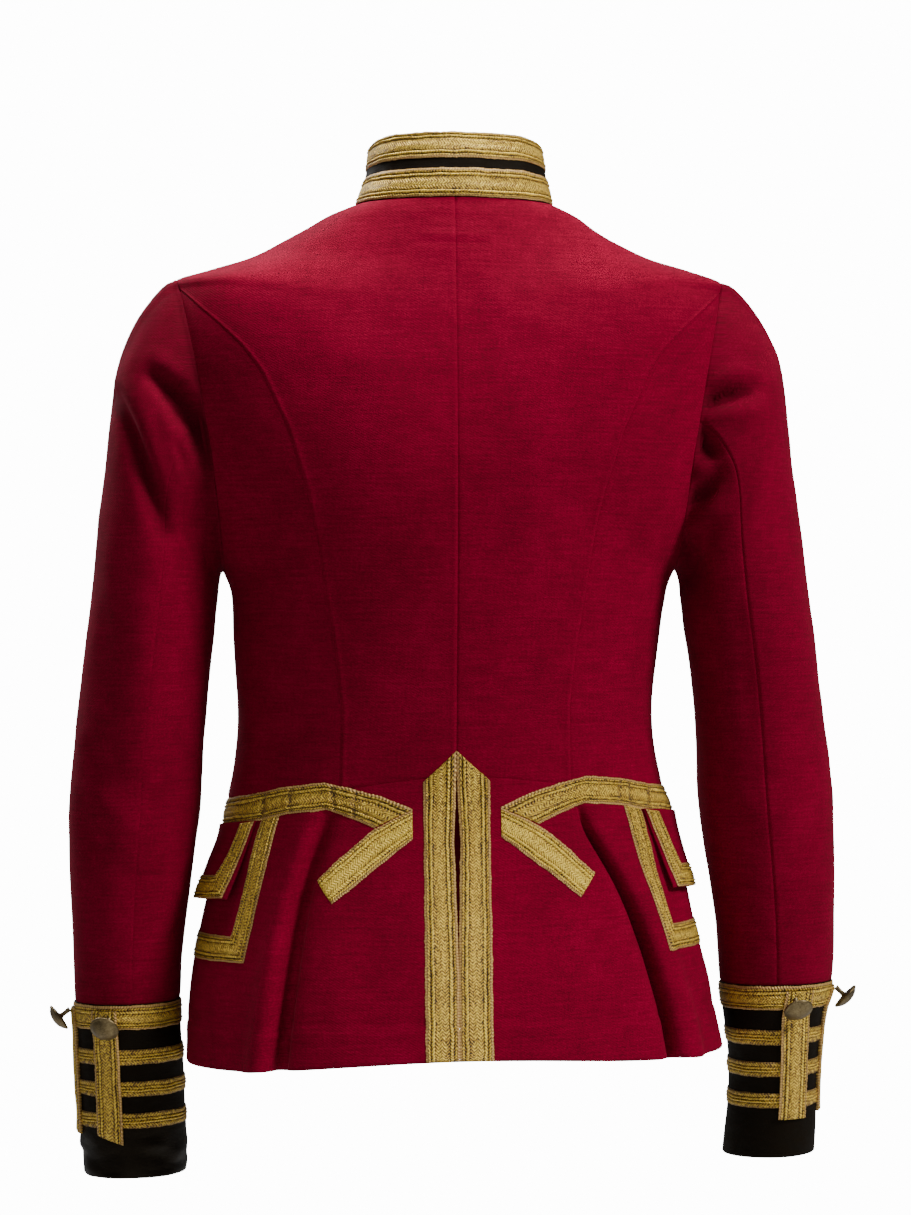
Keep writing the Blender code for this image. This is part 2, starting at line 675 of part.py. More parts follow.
def sleeve_panel(name, sleeve, start, end, finish, collection):
    outer = []
    inner = []
    columns = np.arange(start, end + 1, dtype=float)
    last = CUFF_ROW
    for v in range(last + 1):
        at = float(v)
        if v == last:
            at -= 0.5 * SEAM_GAP / SLEEVE_END_ROW_LENGTH
        drawn = columns.copy()
        for place, way in ((0, 1), (-1, -1)):
            gap = sleeve.point_at(at, sleeve.angle(at, columns[place] + 0.1))
            gap = gap - sleeve.point_at(at, sleeve.angle(at, columns[place] - 0.1))
            drawn[place] += way * 0.5 * SEAM_GAP / (np.linalg.norm(gap) / 0.2)
        point, normal = sleeve.frame(at, sleeve.angle(at, drawn))
        if v == 0:
            flat = normal - (normal @ sleeve.plane_normal)[:, None] * sleeve.plane_normal
            point = point + sleeve.plane_normal * ARMHOLE_GAP
            normal = unit(flat)
        outer.append(sleeve.mirrored(point))
        inner.append(sleeve.mirrored(point - normal * CLOTH))
    wall(name, np.array(outer), np.array(inner), finish, collection)


def ring_band(name, sleeve, tops, lift, thick, finish, collection):
    # a closed band round the cuff, through rings at the given distances below its top edge
    angles = np.linspace(0, 2 * math.pi, CUFF_POINTS, endpoint=False)
    outer = []
    inner = []
    for depth_down in tops:
        point, normal = sleeve.frame(sleeve.row_at(depth_down), angles)
        outer.append(sleeve.mirrored(point + normal * (lift + thick)))
        inner.append(sleeve.mirrored(point + normal * lift))
    wall(name, np.array(outer), np.array(inner), finish, collection, closed=True)


def cuff(sleeve, finish, collection):
    word = side_word(sleeve.side)
    tops = list(SLEEVE["outer_z"][CUFF_ROW] - SLEEVE["outer_z"][CUFF_ROW:])
    tops[0] = 0.5 * SEAM_GAP
    ring_band("cuff_" + word, sleeve, tops, -CLOTH, CLOTH, finish["black_cloth"], collection)
    gold = finish["gold_braid"]
    ring_band("cuff_braid_" + word, sleeve, [0.5, CUFF_BRAID_HEIGHT], LIFT, BRAID, gold, collection)
    for number, (top, low) in enumerate(CUFF_BARS, 1):
        ring_band(f"cuff_bar_{number}_{word}", sleeve, [top, low], LIFT, BAR_BRAID, gold,
                  collection)


def cuff_tab(sleeve, name, tab, finish, collection):
    # an upright strip over the braid and the bars, with a button hanging at its top
    word = side_word(sleeve.side)
    which = 0 if sleeve.side > 0 else 1
    middle = math.radians(tab["degrees"])
    outer = []
    inner = []
    heights = np.linspace(TAB_TOP, tab["length"][which], TAB_STATIONS)
    for depth_down in heights:
        v = sleeve.row_at(depth_down)
        step = np.linalg.norm(sleeve.point_at(v, middle + 0.05)
                              - sleeve.point_at(v, middle - 0.05)) / 0.1
        angles = middle + np.linspace(-0.5, 0.5, 4) * TAB_WIDTH / step
        lowered = np.zeros(4)
        if depth_down == heights[-1]:
            lowered = np.linspace(tab["point"][which], 0, 4)
        rows = np.array([sleeve.row_at(depth_down + d) for d in lowered])
        point, normal = sleeve.frame(rows, angles)
        outer.append(sleeve.mirrored(point + normal * (TAB_LIFT + BRAID)))
        inner.append(sleeve.mirrored(point + normal * TAB_LIFT))
    wall(f"cuff_tab_{name}_{word}", np.array(outer), np.array(inner), finish["gold_braid"],
         collection)
    point, normal = sleeve.frame(sleeve.row_at(TAB_BUTTON_DOWN), middle)
    droop = BUTTON_DROOP_LEFT if sleeve.side > 0 else BUTTON_DROOP_RIGHT
    off = TAB_LIFT + BRAID + CUFF_BUTTON_CLEAR + BUTTON_SHANK_RADIUS * math.sin(droop)
    base = sleeve.mirrored(point + normal * off)
    out = sleeve.mirrored(normal)
    flat = unit(np.array([out[0], out[1], 0.0]))
    axis = flat * math.cos(droop) - np.array([0, 0, math.sin(droop)])
    shank = -BUTTON_PROFILE[-1][1]
    button(f"cuff_button_{name}_{word}", BUTTON_PROFILE, base + axis * shank, axis,
           finish["antique_brass"], collection)


def button(name, profile, centre, axis, finish, collection):
    # turned profile whose Z is the way the dome faces
    form = bmesh.new()
    verts = [form.verts.new((r * MM, 0, h * MM)) for r, h in profile]
    for a, b in zip(verts, verts[1:]):
        form.edges.new((a, b))
    mesh = bpy.data.meshes.new(name)
    form.to_mesh(mesh)
    form.free()
    piece = new_object(name, mesh, finish, collection)
    turn = piece.modifiers.new("turn", "SCREW")
    turn.steps = BUTTON_SIDES
    turn.render_steps = BUTTON_SIDES
    turn.use_merge_vertices = True
    turn.merge_threshold = 0.00005
    turn.use_smooth_shade = True
    facing = Vector(axis).to_track_quat("Z", "Y").to_matrix().to_4x4()
    piece.matrix_world = Matrix.Translation(Vector(settle(centre) * MM)) @ facing
    return piece


def front_button(number, t, finish, collection):
    # on the right front, on the centre line
    point, normal = body_frame(-1, t, -math.pi / 2)
    base = point + normal * FRONT_BUTTON_CLEAR
    shank = -FRONT_BUTTON_PROFILE[-1][1]
    button(f"front_button_{number}", FRONT_BUTTON_PROFILE, base + normal * shank, normal,
           finish["antique_brass"], collection)


def collar_point(side, k, u):
    back = u >= 0
    far_y = np.where(back, through(COLLAR["back_y"], k), through(COLLAR["front_y"], k))
    far_z = np.where(back, through(COLLAR["back_z"], k), through(COLLAR["front_z"], k))
    side_y = through(COLLAR["side_y"], k)
    side_z = through(COLLAR["side_z"], k)
    swing = np.where(back, smoothstep(u / COLLAR_BACK_LEVEL), swing_of(u))
    x = through(COLLAR["half_" + side_word(side)], k) * np.cos(u)
    y = side_y + (far_y - side_y) * np.abs(np.sin(u))
    return np.stack([side * x, y, side_z + (far_z - side_z) * swing], -1)


def collar_frame(side, k, u):
    k, u = np.broadcast_arrays(np.asarray(k, float), np.asarray(u, float))
    inside = np.clip(k, 0.03, len(COLLAR_ROWS) - 1.03)
    normal = frame_of(lambda a, b: collar_point(side, a, b), inside, u, 0.02, 0.02, -side)[1]
    return collar_point(side, k, u), normal


def collar_columns(side):
    # the same angles as the neck edges of the back and the front
    back = panel_angles(side, 0, math.pi / 2, 0.0, BACK_SHARES)
    front = front_angles(side, 0, 0.0)
    return [math.pi / 2] + list(back)[1:-1] + [0.0] + list(front)[1:-1]


def collar_wall(name, rows, lift, thick, finish, collection):
    outer = []
    inner = []
    for k in rows:
        edge_out = []
        edge_in = []
        for side in (1, -1):
            point, normal = collar_frame(side, k, np.array(collar_columns(side)))
            far = point + normal * (lift + thick)
            near = point + normal * lift
            if side > 0:
                edge_out += list(far[::-1])
                edge_in += list(near[::-1])
            else:
                edge_out += list(far[1:])
                edge_in += list(near[1:])
        outer.append(edge_out)
        inner.append(edge_in)
    wall(name, np.array(outer), np.array(inner), finish, collection)


def collar(finish, collection):
    last = len(COLLAR_ROWS) - 1
    per = last / COLLAR_HEIGHT
    collar_wall("collar", [SEAM_GAP * per, COLLAR_MIDDLE_ROW, last], -COLLAR_WALL, COLLAR_WALL,
                finish["black_cloth"], collection)
    for word, low, high in COLLAR_STRIPES:
        rows = (low * per, high * per)
        collar_wall("collar_braid_" + word, rows, COLLAR_BRAID_LIFT, BRAID, finish["gold_braid"],
                    collection)


def finer(stations, longest):
    # fills in stations so that none is further apart than the given length
    filled = [stations[0]]
    for start, end in zip(stations, stations[1:]):
        a = np.array(start, float)
        b = np.array(end, float)
        span = max(np.linalg.norm(b[0] - a[0]), np.linalg.norm(b[1] - a[1]))
        count = max(1, math.ceil(span / longest))
        filled += [tuple(map(tuple, a + (b - a) * k / count)) for k in range(1, count + 1)]
    return filled


def body_strip(name, side, stations, lift, thick, finish, collection, across=3, longest=11.0,
               extra=None):
    # a strip on the body: each station gives its two edges as (distance round, height)
    outer = []
    inner = []
    for a, b in finer(stations, longest):
        places = [np.array(a) + (np.array(b) - np.array(a)) * s for s in np.linspace(0, 1, across)]
        charted = np.array([body_at(side, *place) for place in places])
        point, normal = body_frame(side, charted[:, 0], charted[:, 1])
        raised = np.full(len(places), float(lift))
        if extra is not None:
            raised = raised + np.array([extra(*place) for place in places])
        outer.append(point + normal * (raised + thick)[:, None])
        inner.append(point + normal * raised[:, None])
    wall(name, np.array(outer), np.array(inner), finish, collection)


def band(route, width):
    # stations of a band of even width along a route, square at its ends and mitred at its bends
    route = [np.array(p, float) for p in route]
    ways = [unit(b - a) for a, b in zip(route, route[1:])]
    stations = []
    for k, place in enumerate(route):
        before = ways[max(k - 1, 0)]
        after = ways[min(k, len(ways) - 1)]
        bisector = unit(before + after)
        square = np.array([-bisector[1], bisector[0]])
        reach = width / 2 / max(float(np.dot(square, [-before[1], before[0]])), 0.3)
        stations.append((tuple(place + square * reach), tuple(place - square * reach)))
    return stations


def level_end(station, neighbour, z):
    # slides both edges of a strip's end along the strip to one height
    level = []
    for edge, further in zip(station, neighbour):
        share = (z - edge[1]) / (further[1] - edge[1])
        level.append((edge[0] + (further[0] - edge[0]) * share, z))
    return tuple(level)


def waist_braid(side, finish, collection):
    gold = finish["gold_braid"]
    stations = list(WAIST_FOLD) + band(WAIST_ROUTE, WAIST_WIDTH)
    body_strip("waist_braid_" + side_word(side), side, stations, LIFT, BRAID, gold, collection)
    body_strip("waist_braid_tail_" + side_word(side), side, WAIST_TAIL, LIFT, BRAID, gold,
               collection)


def vent_braid(side, finish, collection):
    # upright strip along the vent's edge, cut to half a gable at the top
    stations = []
    for inner_z, outer_z, edge in VENT_BRAID_ROWS:
        gap = float(down(VENT["z"], VENT["half_gap"], inner_z)) + VENT_BRAID_EASE
        stations.append(((gap, inner_z), (edge, outer_z)))
    body_strip("vent_braid_" + side_word(side), side, stations, LIFT, BRAID,
               finish["gold_braid"], collection, longest=16.0)


def beside(side, route):
    # turns (distance behind the side line, height) into (distance round, height)
    return [(side_distance(side, z) - a, z) for a, z in route]


def pocket_frame(side, finish, collection):
    stations = band(beside(side, POCKET_ROUTE), POCKET_WIDTH)
    stations[0] = level_end(stations[0], stations[1], POCKET_TOP)
    stations[-1] = level_end(stations[-1], stations[-2], POCKET_TOP)
    body_strip("pocket_frame_" + side_word(side), side, stations, LIFT, BRAID,
               finish["gold_braid"], collection, longest=12.0)


def flap_lift(side):
    most = FLAP_LIFT_LEFT if side > 0 else FLAP_LIFT_RIGHT
    top = FLAP_BACK[0][1]
    low = FLAP_FRONT[0][1]
    return lambda _, z: most * smoothstep((top - 2.0 - z) / (top - low))


def pocket_flap(side, finish, collection):
    # a flap that springs from under the waist braid and stands off at its lower edge
    back = np.array(beside(side, FLAP_BACK))
    front = np.array(beside(side, FLAP_FRONT[::-1]))
    stations = []
    for share in np.linspace(0, 1, 8):
        top = back[0] + (front[0] - back[0]) * share
        low = back[1] + (front[1] - back[1]) * share
        stations.append((tuple(top), tuple(low)))
    lift = flap_lift(side)
    body_strip("pocket_flap_" + side_word(side), side, stations, FLAP_CLEAR, FLAP_WALL,
               finish["red_cloth"], collection, across=6, longest=30.0, extra=lift)
    inset = FLAP_BRAID_WIDTH / 2 + FLAP_BORDER
    border = [back[0] + (inset, FLAP_BRAID_START), back[1] + (inset, inset),
              front[1] + (-inset, inset), front[0] + (-inset, FLAP_BRAID_START)]
    body_strip("flap_braid_" + side_word(side), side, band(border, FLAP_BRAID_WIDTH),
               FLAP_CLEAR + FLAP_WALL + FLAP_BRAID_LIFT, BRAID, finish["gold_braid"], collection,
               longest=12.0, extra=lift)


def make_finishes():
    made = {}
    for name, (colour, roughness, metallic) in FINISHES.items():
        finish = bpy.data.materials.new(name)
        finish.use_nodes = True
        shader = finish.node_tree.nodes["Principled BSDF"]
        shader.inputs["Base Color"].default_value = colour
        shader.inputs["Roughness"].default_value = roughness
        shader.inputs["Metallic"].default_value = metallic
        made[name] = finish
    return made


def build_jacket():
    for old in list(bpy.data.objects):
        bpy.data.objects.remove(old)
    collection = bpy.data.collections.new(COLLECTION)
    bpy.context.scene.collection.children.link(collection)
    finish = make_finishes()
    red = finish["red_cloth"]
    for side in (1, -1):
        word = side_word(side)
        back_panel(side, red, collection)
        side_back_panel(side, red, collection)
        front_panel(side, red, collection)
        skirt_back_panel(side, red, collection)
        skirt_front_panel(side, red, collection)
        sleeve = Sleeve(side)
        sleeve_panel("upper_sleeve_" + word, sleeve, FRONT_SEAM_AT, BACK_SEAM_AT + RING_POINTS,
                     red, collection)
        sleeve_panel("under_sleeve_" + word, sleeve, BACK_SEAM_AT, FRONT_SEAM_AT, red, collection)
        cuff(sleeve, finish, collection)
        for name, tab in TABS.items():
            cuff_tab(sleeve, name, tab, finish, collection)
        vent_braid(side, finish, collection)
        waist_braid(side, finish, collection)
        pocket_frame(side, finish, collection)
        pocket_flap(side, finish, collection)
    collar(finish, collection)
    for number, t in enumerate(FRONT_BUTTON_ROWS, 1):
        front_button(number, t, finish, collection)


build_jacket()
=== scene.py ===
import math
from functools import partial

import bpy
import numpy as np
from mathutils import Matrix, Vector


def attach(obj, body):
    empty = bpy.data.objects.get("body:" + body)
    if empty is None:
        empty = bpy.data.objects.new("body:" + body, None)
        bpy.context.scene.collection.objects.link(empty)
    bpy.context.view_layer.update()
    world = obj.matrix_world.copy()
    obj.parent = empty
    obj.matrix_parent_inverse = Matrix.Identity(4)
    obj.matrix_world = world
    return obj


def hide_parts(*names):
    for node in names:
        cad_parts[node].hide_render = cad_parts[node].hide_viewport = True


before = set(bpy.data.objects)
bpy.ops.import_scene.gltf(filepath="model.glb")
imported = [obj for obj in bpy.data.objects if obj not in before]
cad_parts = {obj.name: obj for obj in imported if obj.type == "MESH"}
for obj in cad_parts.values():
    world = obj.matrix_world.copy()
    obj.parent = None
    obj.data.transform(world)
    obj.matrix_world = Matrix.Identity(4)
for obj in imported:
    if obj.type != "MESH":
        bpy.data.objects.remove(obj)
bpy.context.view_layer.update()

# Red military style jacket, seen from behind. Sizes are in millimetres until a mesh is made.
mm = 0.001
cloth = 2.0  # how thick the cloth is
seamGap = 0.05  # between two panels that are sewn together
quarter = math.pi / 2
totals = {"triangles": 0}


# the jacket's form, the same as the solids'
def table(columns, rows):
    return {name: np.array(values, float) for name, values in zip(columns.split(), zip(*rows))}


body = table("sideZ halfLeft halfRight sideY backZ backY frontZ frontY roundness", (
    (0, 66, 71, 2, 0, 62, -75, -56, 1.00), (-8, 84.5, 88, 1, -11, 65.5, -82, -60, 1.20),
    (-17, 100, 101, -0.5, -22, 69, -89.5, -64.5, 1.36), (-26, 117, 116.5, -2, -34, 72.5, -98, -69.5, 1.46),
    (-36, 138, 138, -3.5, -47, 76, -107, -75, 1.50), (-44.5, 166.5, 167, -5, -60, 79.5, -116, -81, 1.34),
    (-52.5, 191, 190, -6, -71, 82.5, -125, -87, 1.15), (-60, 193, 191.5, -7, -82, 85.5, -133, -92, 1.05),
    (-68, 194, 192, -7.5, -93, 88, -141, -97, 0.97), (-80, 195, 194, -8, -106, 91, -151, -103, 0.92),
    (-95, 196, 195, -8, -120, 94, -161, -108, 0.90), (-112, 197, 196, -8, -135, 96.5, -172, -113, 0.92),
    (-132, 197, 196, -8, -152, 99, -185, -118, 0.96), (-153, 196.5, 195.5, -8, -170, 101, -199, -122, 1.00),
    (-175, 194, 193, -8, -188, 102, -214, -124.5, 1.06), (-198, 188, 187, -8, -207, 102, -229, -125.5, 1.10),
    (-220, 179, 178, -8, -225, 101, -243, -125.5, 1.12), (-238, 170, 169, -8, -242, 99.5, -257, -124.5, 1.12),
    (-249, 163, 162, -8, -256, 98, -269, -122.5, 1.10), (-255, 159, 158, -8, -268, 96.5, -280, -120.5, 1.06),
    (-272, 153.2, 151.8, -8, -286, 94, -297, -116.8, 1.02), (-297, 151.6, 147.4, -8, -307, 91, -316, -112.2, 0.99),
    (-326, 150, 143.8, -8, -330, 87.8, -339, -107.4, 0.98), (-355, 149, 141.8, -8, -353, 85.2, -364, -103.4, 0.97),
    (-383, 151.3, 143.6, -8, -376, 83, -390, -101, 0.97), (-410, 156, 149.5, -8, -396, 82, -412, -100, 0.97),
    (-424, 158.5, 154.5, -7, -412, 84, -426, -102, 0.96), (-440, 161, 157.5, -6.5, -429, 88, -442, -105, 0.96),
    (-457, 164.8, 160.8, -6, -447, 92.5, -459, -109, 0.96),
    (-475, 168.8, 164.8, -5.5, -467, 97.5, -477, -112.5, 0.96),
    (-495, 173.8, 169.2, -5, -489, 103, -497, -116.5, 0.96), (-517, 178.6, 174.5, -4, -513, 109, -519, -120, 0.96),
    (-541, 182, 180, -3, -538, 114.5, -542, -123, 0.96), (-566, 183.5, 184.5, -2, -561, 119.5, -566, -125.5, 0.96),
    (-592, 184.5, 190.5, 0, -584, 124, -590, -127, 0.96)))
sleeveRows = table("outerLeft outerRight outerZ innerLeft innerRight innerZ halfDepth centreY", (
    (190, 190, -52, 159, 158, -255, 56, -9), (198.8, 199, -56, 160.2, 159.4, -257, 57.5, -9),
    (210, 211, -67.5, 160.8, 160.2, -259, 59, -8.5), (221, 222.3, -84, 161.1, 160.8, -261, 60, -8.2),
    (229.4, 230.8, -103, 161.4, 161.3, -263.2, 60.8, -8), (235, 235.3, -126, 161.7, 161.7, -266, 61.2, -7.6),
    (238.3, 238.3, -155, 162, 162, -270, 61.4, -7.2), (241.6, 241.6, -187, 162.5, 162.5, -276, 61.2, -6.8),
    (246, 246, -220, 163.4, 163.4, -284, 61, -6.3), (250, 250.4, -258, 164.8, 164.8, -296, 60, -5.6),
    (254.3, 255, -297, 167, 167.6, -314, 58.5, -4.8), (258, 259, -332, 169.5, 170.4, -338, 56.5, -4.2),
    (262.6, 263.8, -374, 172.6, 173, -376, 54, -4), (266.4, 269.2, -416, 174.6, 174.6, -416, 51.2, -5.2),
    (266.4, 271, -460, 180.2, 181, -460, 48.6, -7.8), (264.4, 271.3, -505, 185.8, 187.6, -505, 46, -10.8),
    (263.2, 270.6, -549.5, 188.6, 191, -549.5, 43.6, -14.2), (261.6, 264.6, -572, 188.4, 194, -572, 42.8, -16),
    (260.4, 261.6, -600, 186.6, 197.8, -600, 42, -18.5), (258.9, 260.6, -628, 185.6, 198.3, -628, 41.3, -21),
    (258.9, 260.6, -652, 184.2, 196, -652, 40.8, -23), (257.6, 259.6, -671.5, 184.6, 194.6, -671.5, 40.4, -25)))
collarRows = table("halfLeft halfRight sideY sideZ backY backZ frontY frontZ", (
    (66, 71, 2, 0, 62, 0, -56, -75), (61.3, 68.2, -0.5, 13.5, 60.4, 15, -59, -61.5),
    (58.6, 65.8, -2.5, 27, 57.4, 30.2, -61.5, -48), (57, 63.6, -4, 40.5, 53.5, 45.5, -64, -35)))
princess = table("z x", ((-60, 189), (-73.5, 176), (-87, 161), (-101.5, 146), (-119, 133), (-158, 115),
                         (-200, 102), (-245, 93), (-306, 83), (-350, 78), (-396, 79), (-420, 80)))
pleats = table("backLeft backRight front depth", (
    (82, 79, 84, 0), (86, 83.5, 89, 3), (91.5, 90, 94, 5), (97.5, 101, 99, 7), (103, 112, 104, 8.5),
    (107.5, 121.5, 108.5, 10), (111.5, 130, 112.5, 11.5), (115, 137.5, 116.5, 12.8),
    (118.5, 144.5, 120.5, 14), (121.5, 149.5, 125, 15)))
vent = table("z gap", ((-390, 0.16), (-402, 0.3), (-420, 1.5), (-440, 2.1), (-470, 1.7), (-500, 0.9),
                       (-519, 0.08), (-592, 0.05)))
armholeX = (189, 187, 184.3, 181, 177.4, 173.7, 170, 166.2, 163.4, 161, 159.6, 158.6)
shoulderRow, princessRow, underarmRow, waistRow, hemRow = 6, 7, 19, 25, 34  # rows of the body
levelArc = math.radians(32)  # each ring is level this far from its centre line
lapWidth, lapInset = 12.0, cloth + 0.6  # how far each front goes past the centre, and the left one in
cuffRow, cuffEnd = 16, 21  # rows of the sleeves
armholePoints = 104  # points round the armhole, and where the two seams start on it
backSeamAt, frontSeamAt = 28, 68


def through(values, t):
    # smooth curve through evenly numbered values, read at row t
    last = len(values) - 1
    t = np.clip(np.asarray(t, float), 0, last)
    i = np.clip(np.floor(t).astype(int), 0, last - 1)
    f = t - i
    p0, p1 = values[np.maximum(i - 1, 0)], values[i]
    p2, p3 = values[i + 1], values[np.minimum(i + 2, last)]
    square = 2 * p0 - 5 * p1 + 4 * p2 - p3
    cube = 3 * p1 - p0 - 3 * p2 + p3
    return 0.5 * (2 * p1 + (p2 - p0) * f + square * f ** 2 + cube * f ** 3)


def smoothstep(x):
    x = np.clip(x, 0, 1)
    return x * x * (3 - 2 * x)


def bell(distance, width):
    return np.exp(-(distance / width) ** 2)


def down(heights, values, z):
    return np.interp(-np.asarray(z, float), -heights, values)


def unit(vectors):
    return vectors / np.maximum(np.linalg.norm(vectors, axis=-1, keepdims=True), 1e-9)


def matched(a, b):
    return np.broadcast_arrays(np.asarray(a, float), np.asarray(b, float))


def alongLine(points, axis=0):
    # how far each point of a line, or of each line in a grid, is along it
    steps = np.linalg.norm(np.diff(points, axis=axis), axis=-1)
    return np.insert(np.cumsum(steps, axis=axis), 0, 0, axis=axis)


def word(side):
    return "left" if side > 0 else "right"


def sided(column, side):
    return column + word(side).capitalize()


def pieceName(node):
    # a piece's own name, from the node that it stands for
    first, *others = node.split("_")
    return first + "".join(part.capitalize() for part in others or ["cloth"])


def halfWidth(side, t):
    return through(body[sided("half", side)], t)


def curves(rows, axis, t, u):
    # a ring's place along an axis at its centre, behind or in front, and at its side
    return np.where(u >= 0, through(rows["back" + axis], t), through(rows["front" + axis], t)), \
        through(rows["side" + axis], t)


def swingOf(u):
    turned = np.minimum(np.abs(u), math.pi - np.abs(u))
    return smoothstep((turned - levelArc) / (quarter - levelArc))


def valleyAngle(side, t, face):
    # where a pleat's valley runs; face is 1 behind and -1 in front
    column = sided("back", side) if face > 0 else "front"
    return np.arccos(np.clip(through(pleats[column], t - waistRow) / halfWidth(side, t), 0, 0.999))


def pleatRelief(side, t, u, depthY):
    relief = np.zeros_like(u)
    for face, share in ((1, 1.0), (-1, 0.7)):
        valley = valleyAngle(side, t, face)
        away = (valley - face * u) * np.hypot(halfWidth(side, t) * np.sin(valley), depthY * np.cos(valley))
        fold = 0.5 * bell(away - 17, 12) - 0.5 * bell(away, 7.5)
        relief = relief + np.where(face * u > 0, share * through(pleats["depth"], t - waistRow) * fold, 0)
    return relief


def bodyPoint(side, t, u):
    # t runs down the rows; u is 90 degrees at the centre back and 0 at the side line
    t, u = matched(t, u)
    (farY, sideY), (farZ, sideZ) = curves(body, "Y", t, u), curves(body, "Z", t, u)
    w, depth = halfWidth(side, t), np.abs(farY - sideY)
    relief = pleatRelief(side, t, u, depth)
    outward = unit(np.stack([depth * np.cos(u), w * np.sin(u)], -1))
    y = sideY + (farY - sideY) * np.abs(np.sin(u)) ** through(body["roundness"], t)
    z = sideZ + (farZ - sideZ) * swingOf(u)
    return np.stack([side * (w * np.cos(u) + relief * outward[..., 0]), y + relief * outward[..., 1], z], -1)


def normalOf(surface, a, b, stepA, stepB):
    return unit(np.cross(surface(a + stepA, b) - surface(a - stepA, b),
                         surface(a, b + stepB) - surface(a, b - stepB)))


def bodyFrame(side, t, u):
    t, u = matched(t, u)
    inner = np.clip(t, 0.06, hemRow - 0.06)
    return bodyPoint(side, t, u), normalOf(partial(bodyPoint, side), inner, u, 0.05, 0.02) * side


def angleAtX(side, t, x):
    return np.arccos(np.minimum(x / halfWidth(side, t), 1.0))


def armholeAngle(side, t):
    known = [float(halfWidth(side, shoulderRow)), *armholeX, float(halfWidth(side, underarmRow))]
    x = np.interp(np.asarray(t, float) - shoulderRow, np.arange(len(known)), known)
    inside = (np.asarray(t) > shoulderRow) & (np.asarray(t) < underarmRow)
    return np.where(inside, angleAtX(side, t, x), 0.0)


def princessAngle(side, t):
    u = np.full(np.shape(t), math.pi / 4)
    for _ in range(20):
        u = angleAtX(side, t, down(princess["z"], princess["x"], bodyPoint(side, t, u)[..., 2]))
    return u


roundAngles = np.linspace(quarter, -quarter - 0.1, 181)
charts = {}  # distance round from the centre back, and height, at every row and angle
for side in (1, -1):
    points = bodyPoint(side, np.arange(hemRow + 1)[:, None], roundAngles[None, :])
    charts[side] = alongLine(points[..., :2], 1), points[..., 2]


def bodyAt(side, distance, z):
    # rows and angles of places given by distance round from the centre back and height
    length, height = charts[side]
    shape = np.shape(distance)
    distance, z = np.ravel(distance), np.ravel(z)
    t = np.full(distance.shape, float(waistRow))
    pick = np.arange(len(distance))
    for _ in range(14):
        low = np.clip(np.floor(t).astype(int), 0, hemRow - 1)
        ring = length[low] + (length[low + 1] - length[low]) * (t - low)[:, None]
        i = np.clip((ring <= distance[:, None]).sum(1) - 1, 0, 179)
        f = (distance - ring[pick, i]) / (ring[pick, i + 1] - ring[pick, i])
        heights = height[:, i] * (1 - f) + height[:, i + 1] * f
        r = np.clip((heights >= z).sum(0) - 1, 0, hemRow - 1)
        t = np.clip(r + (heights[r, pick] - z) / (heights[r, pick] - heights[r + 1, pick]), 0, hemRow)
    u = quarter + (i + np.clip(f, 0, 1)) * (roundAngles[1] - roundAngles[0])
    return t.reshape(shape), u.reshape(shape)


def sideDistance(side, z):
    t = float(np.interp(-z, -body["sideZ"], np.arange(hemRow + 1)))
    return float(np.interp(0.0, -roundAngles, through(charts[side][0], t)))


def settle(points):
    # the lower part of the jacket hangs a little lower on the wearer's left
    points = np.array(points, float)
    points[..., 2] -= 0.024 * points[..., 0] * smoothstep((-200 - points[..., 2]) / 220)
    return points


# drape: creases laid one by one, as soft troughs (minus) and ridges (plus)
# each: face (1 back, -1 front), depth, half width, then x and z along it
bodyCreases = (
    (1, -2.4, 22, (-84, -196), (-92, -222), (-98, -246)), (1, 1.5, 20, (-122, -120), (-132, -160), (-140, -205)),
    (1, -1.3, 20, (92, -66), (70, -76), (52, -92)), (1, -1.0, 16, (-60, -62), (-82, -84)),
    (1, -1.1, 9, (146, -262), (118, -246), (96, -236)), (1, 0.9, 8, (148, -276), (120, -264), (104, -256)),
    (1, -1.2, 9, (-146, -258), (-122, -238), (-108, -218)), (1, 0.9, 8, (-148, -276), (-124, -262), (-110, -246)),
    (1, -0.9, 7, (142, -372), (112, -366), (92, -370)), (1, 0.8, 6, (143, -358), (116, -352), (98, -355)),
    (1, -0.9, 7, (-136, -372), (-110, -364), (-88, -366)), (1, 0.7, 6, (-137, -356), (-112, -350), (-94, -352)),
    (1, -0.7, 10, (40, -330), (12, -338), (-20, -334)), (1, 0.6, 12, (52, -352), (10, -356), (-44, -350)),
    (1, -1.6, 2.8, (131, -396), (133, -430)), (1, -1.6, 12, (150, -440), (146, -500), (150, -570)),
    (1, 1.2, 12, (-70, -440), (-66, -510), (-60, -575)),
    (1, -1.1, 14, (-92, -470), (-98, -530), (-100, -580)), (1, -1.0, 14, (60, -480), (58, -530), (54, -578)),
    (1, 1.1, 12, (80, -450), (84, -510), (84, -578)),
    (-1, -1.8, 11, (148, -236), (120, -222), (92, -214)), (-1, 1.2, 10, (150, -254), (122, -244), (98, -238)),
    (-1, -1.8, 11, (-148, -236), (-122, -226), (-96, -214)), (-1, 1.2, 10, (-150, -254), (-124, -246), (-100, -240)),
    (-1, -1.2, 8, (140, -366), (104, -360), (70, -362)), (-1, 1.0, 8, (140, -350), (106, -344), (76, -347)),
    (-1, -1.2, 8, (-132, -366), (-100, -358), (-72, -362)), (-1, 1.0, 8, (-134, -350), (-104, -342), (-78, -345)),
    (-1, -1.4, 16, (96, -128), (88, -160), (66, -196)), (-1, -1.2, 14, (-98, -128), (-84, -164), (-62, -200)),
    (-1, -1.0, 14, (70, -480), (66, -530), (60, -580)), (-1, -1.1, 14, (-66, -480), (-70, -530), (-66, -580)),
)
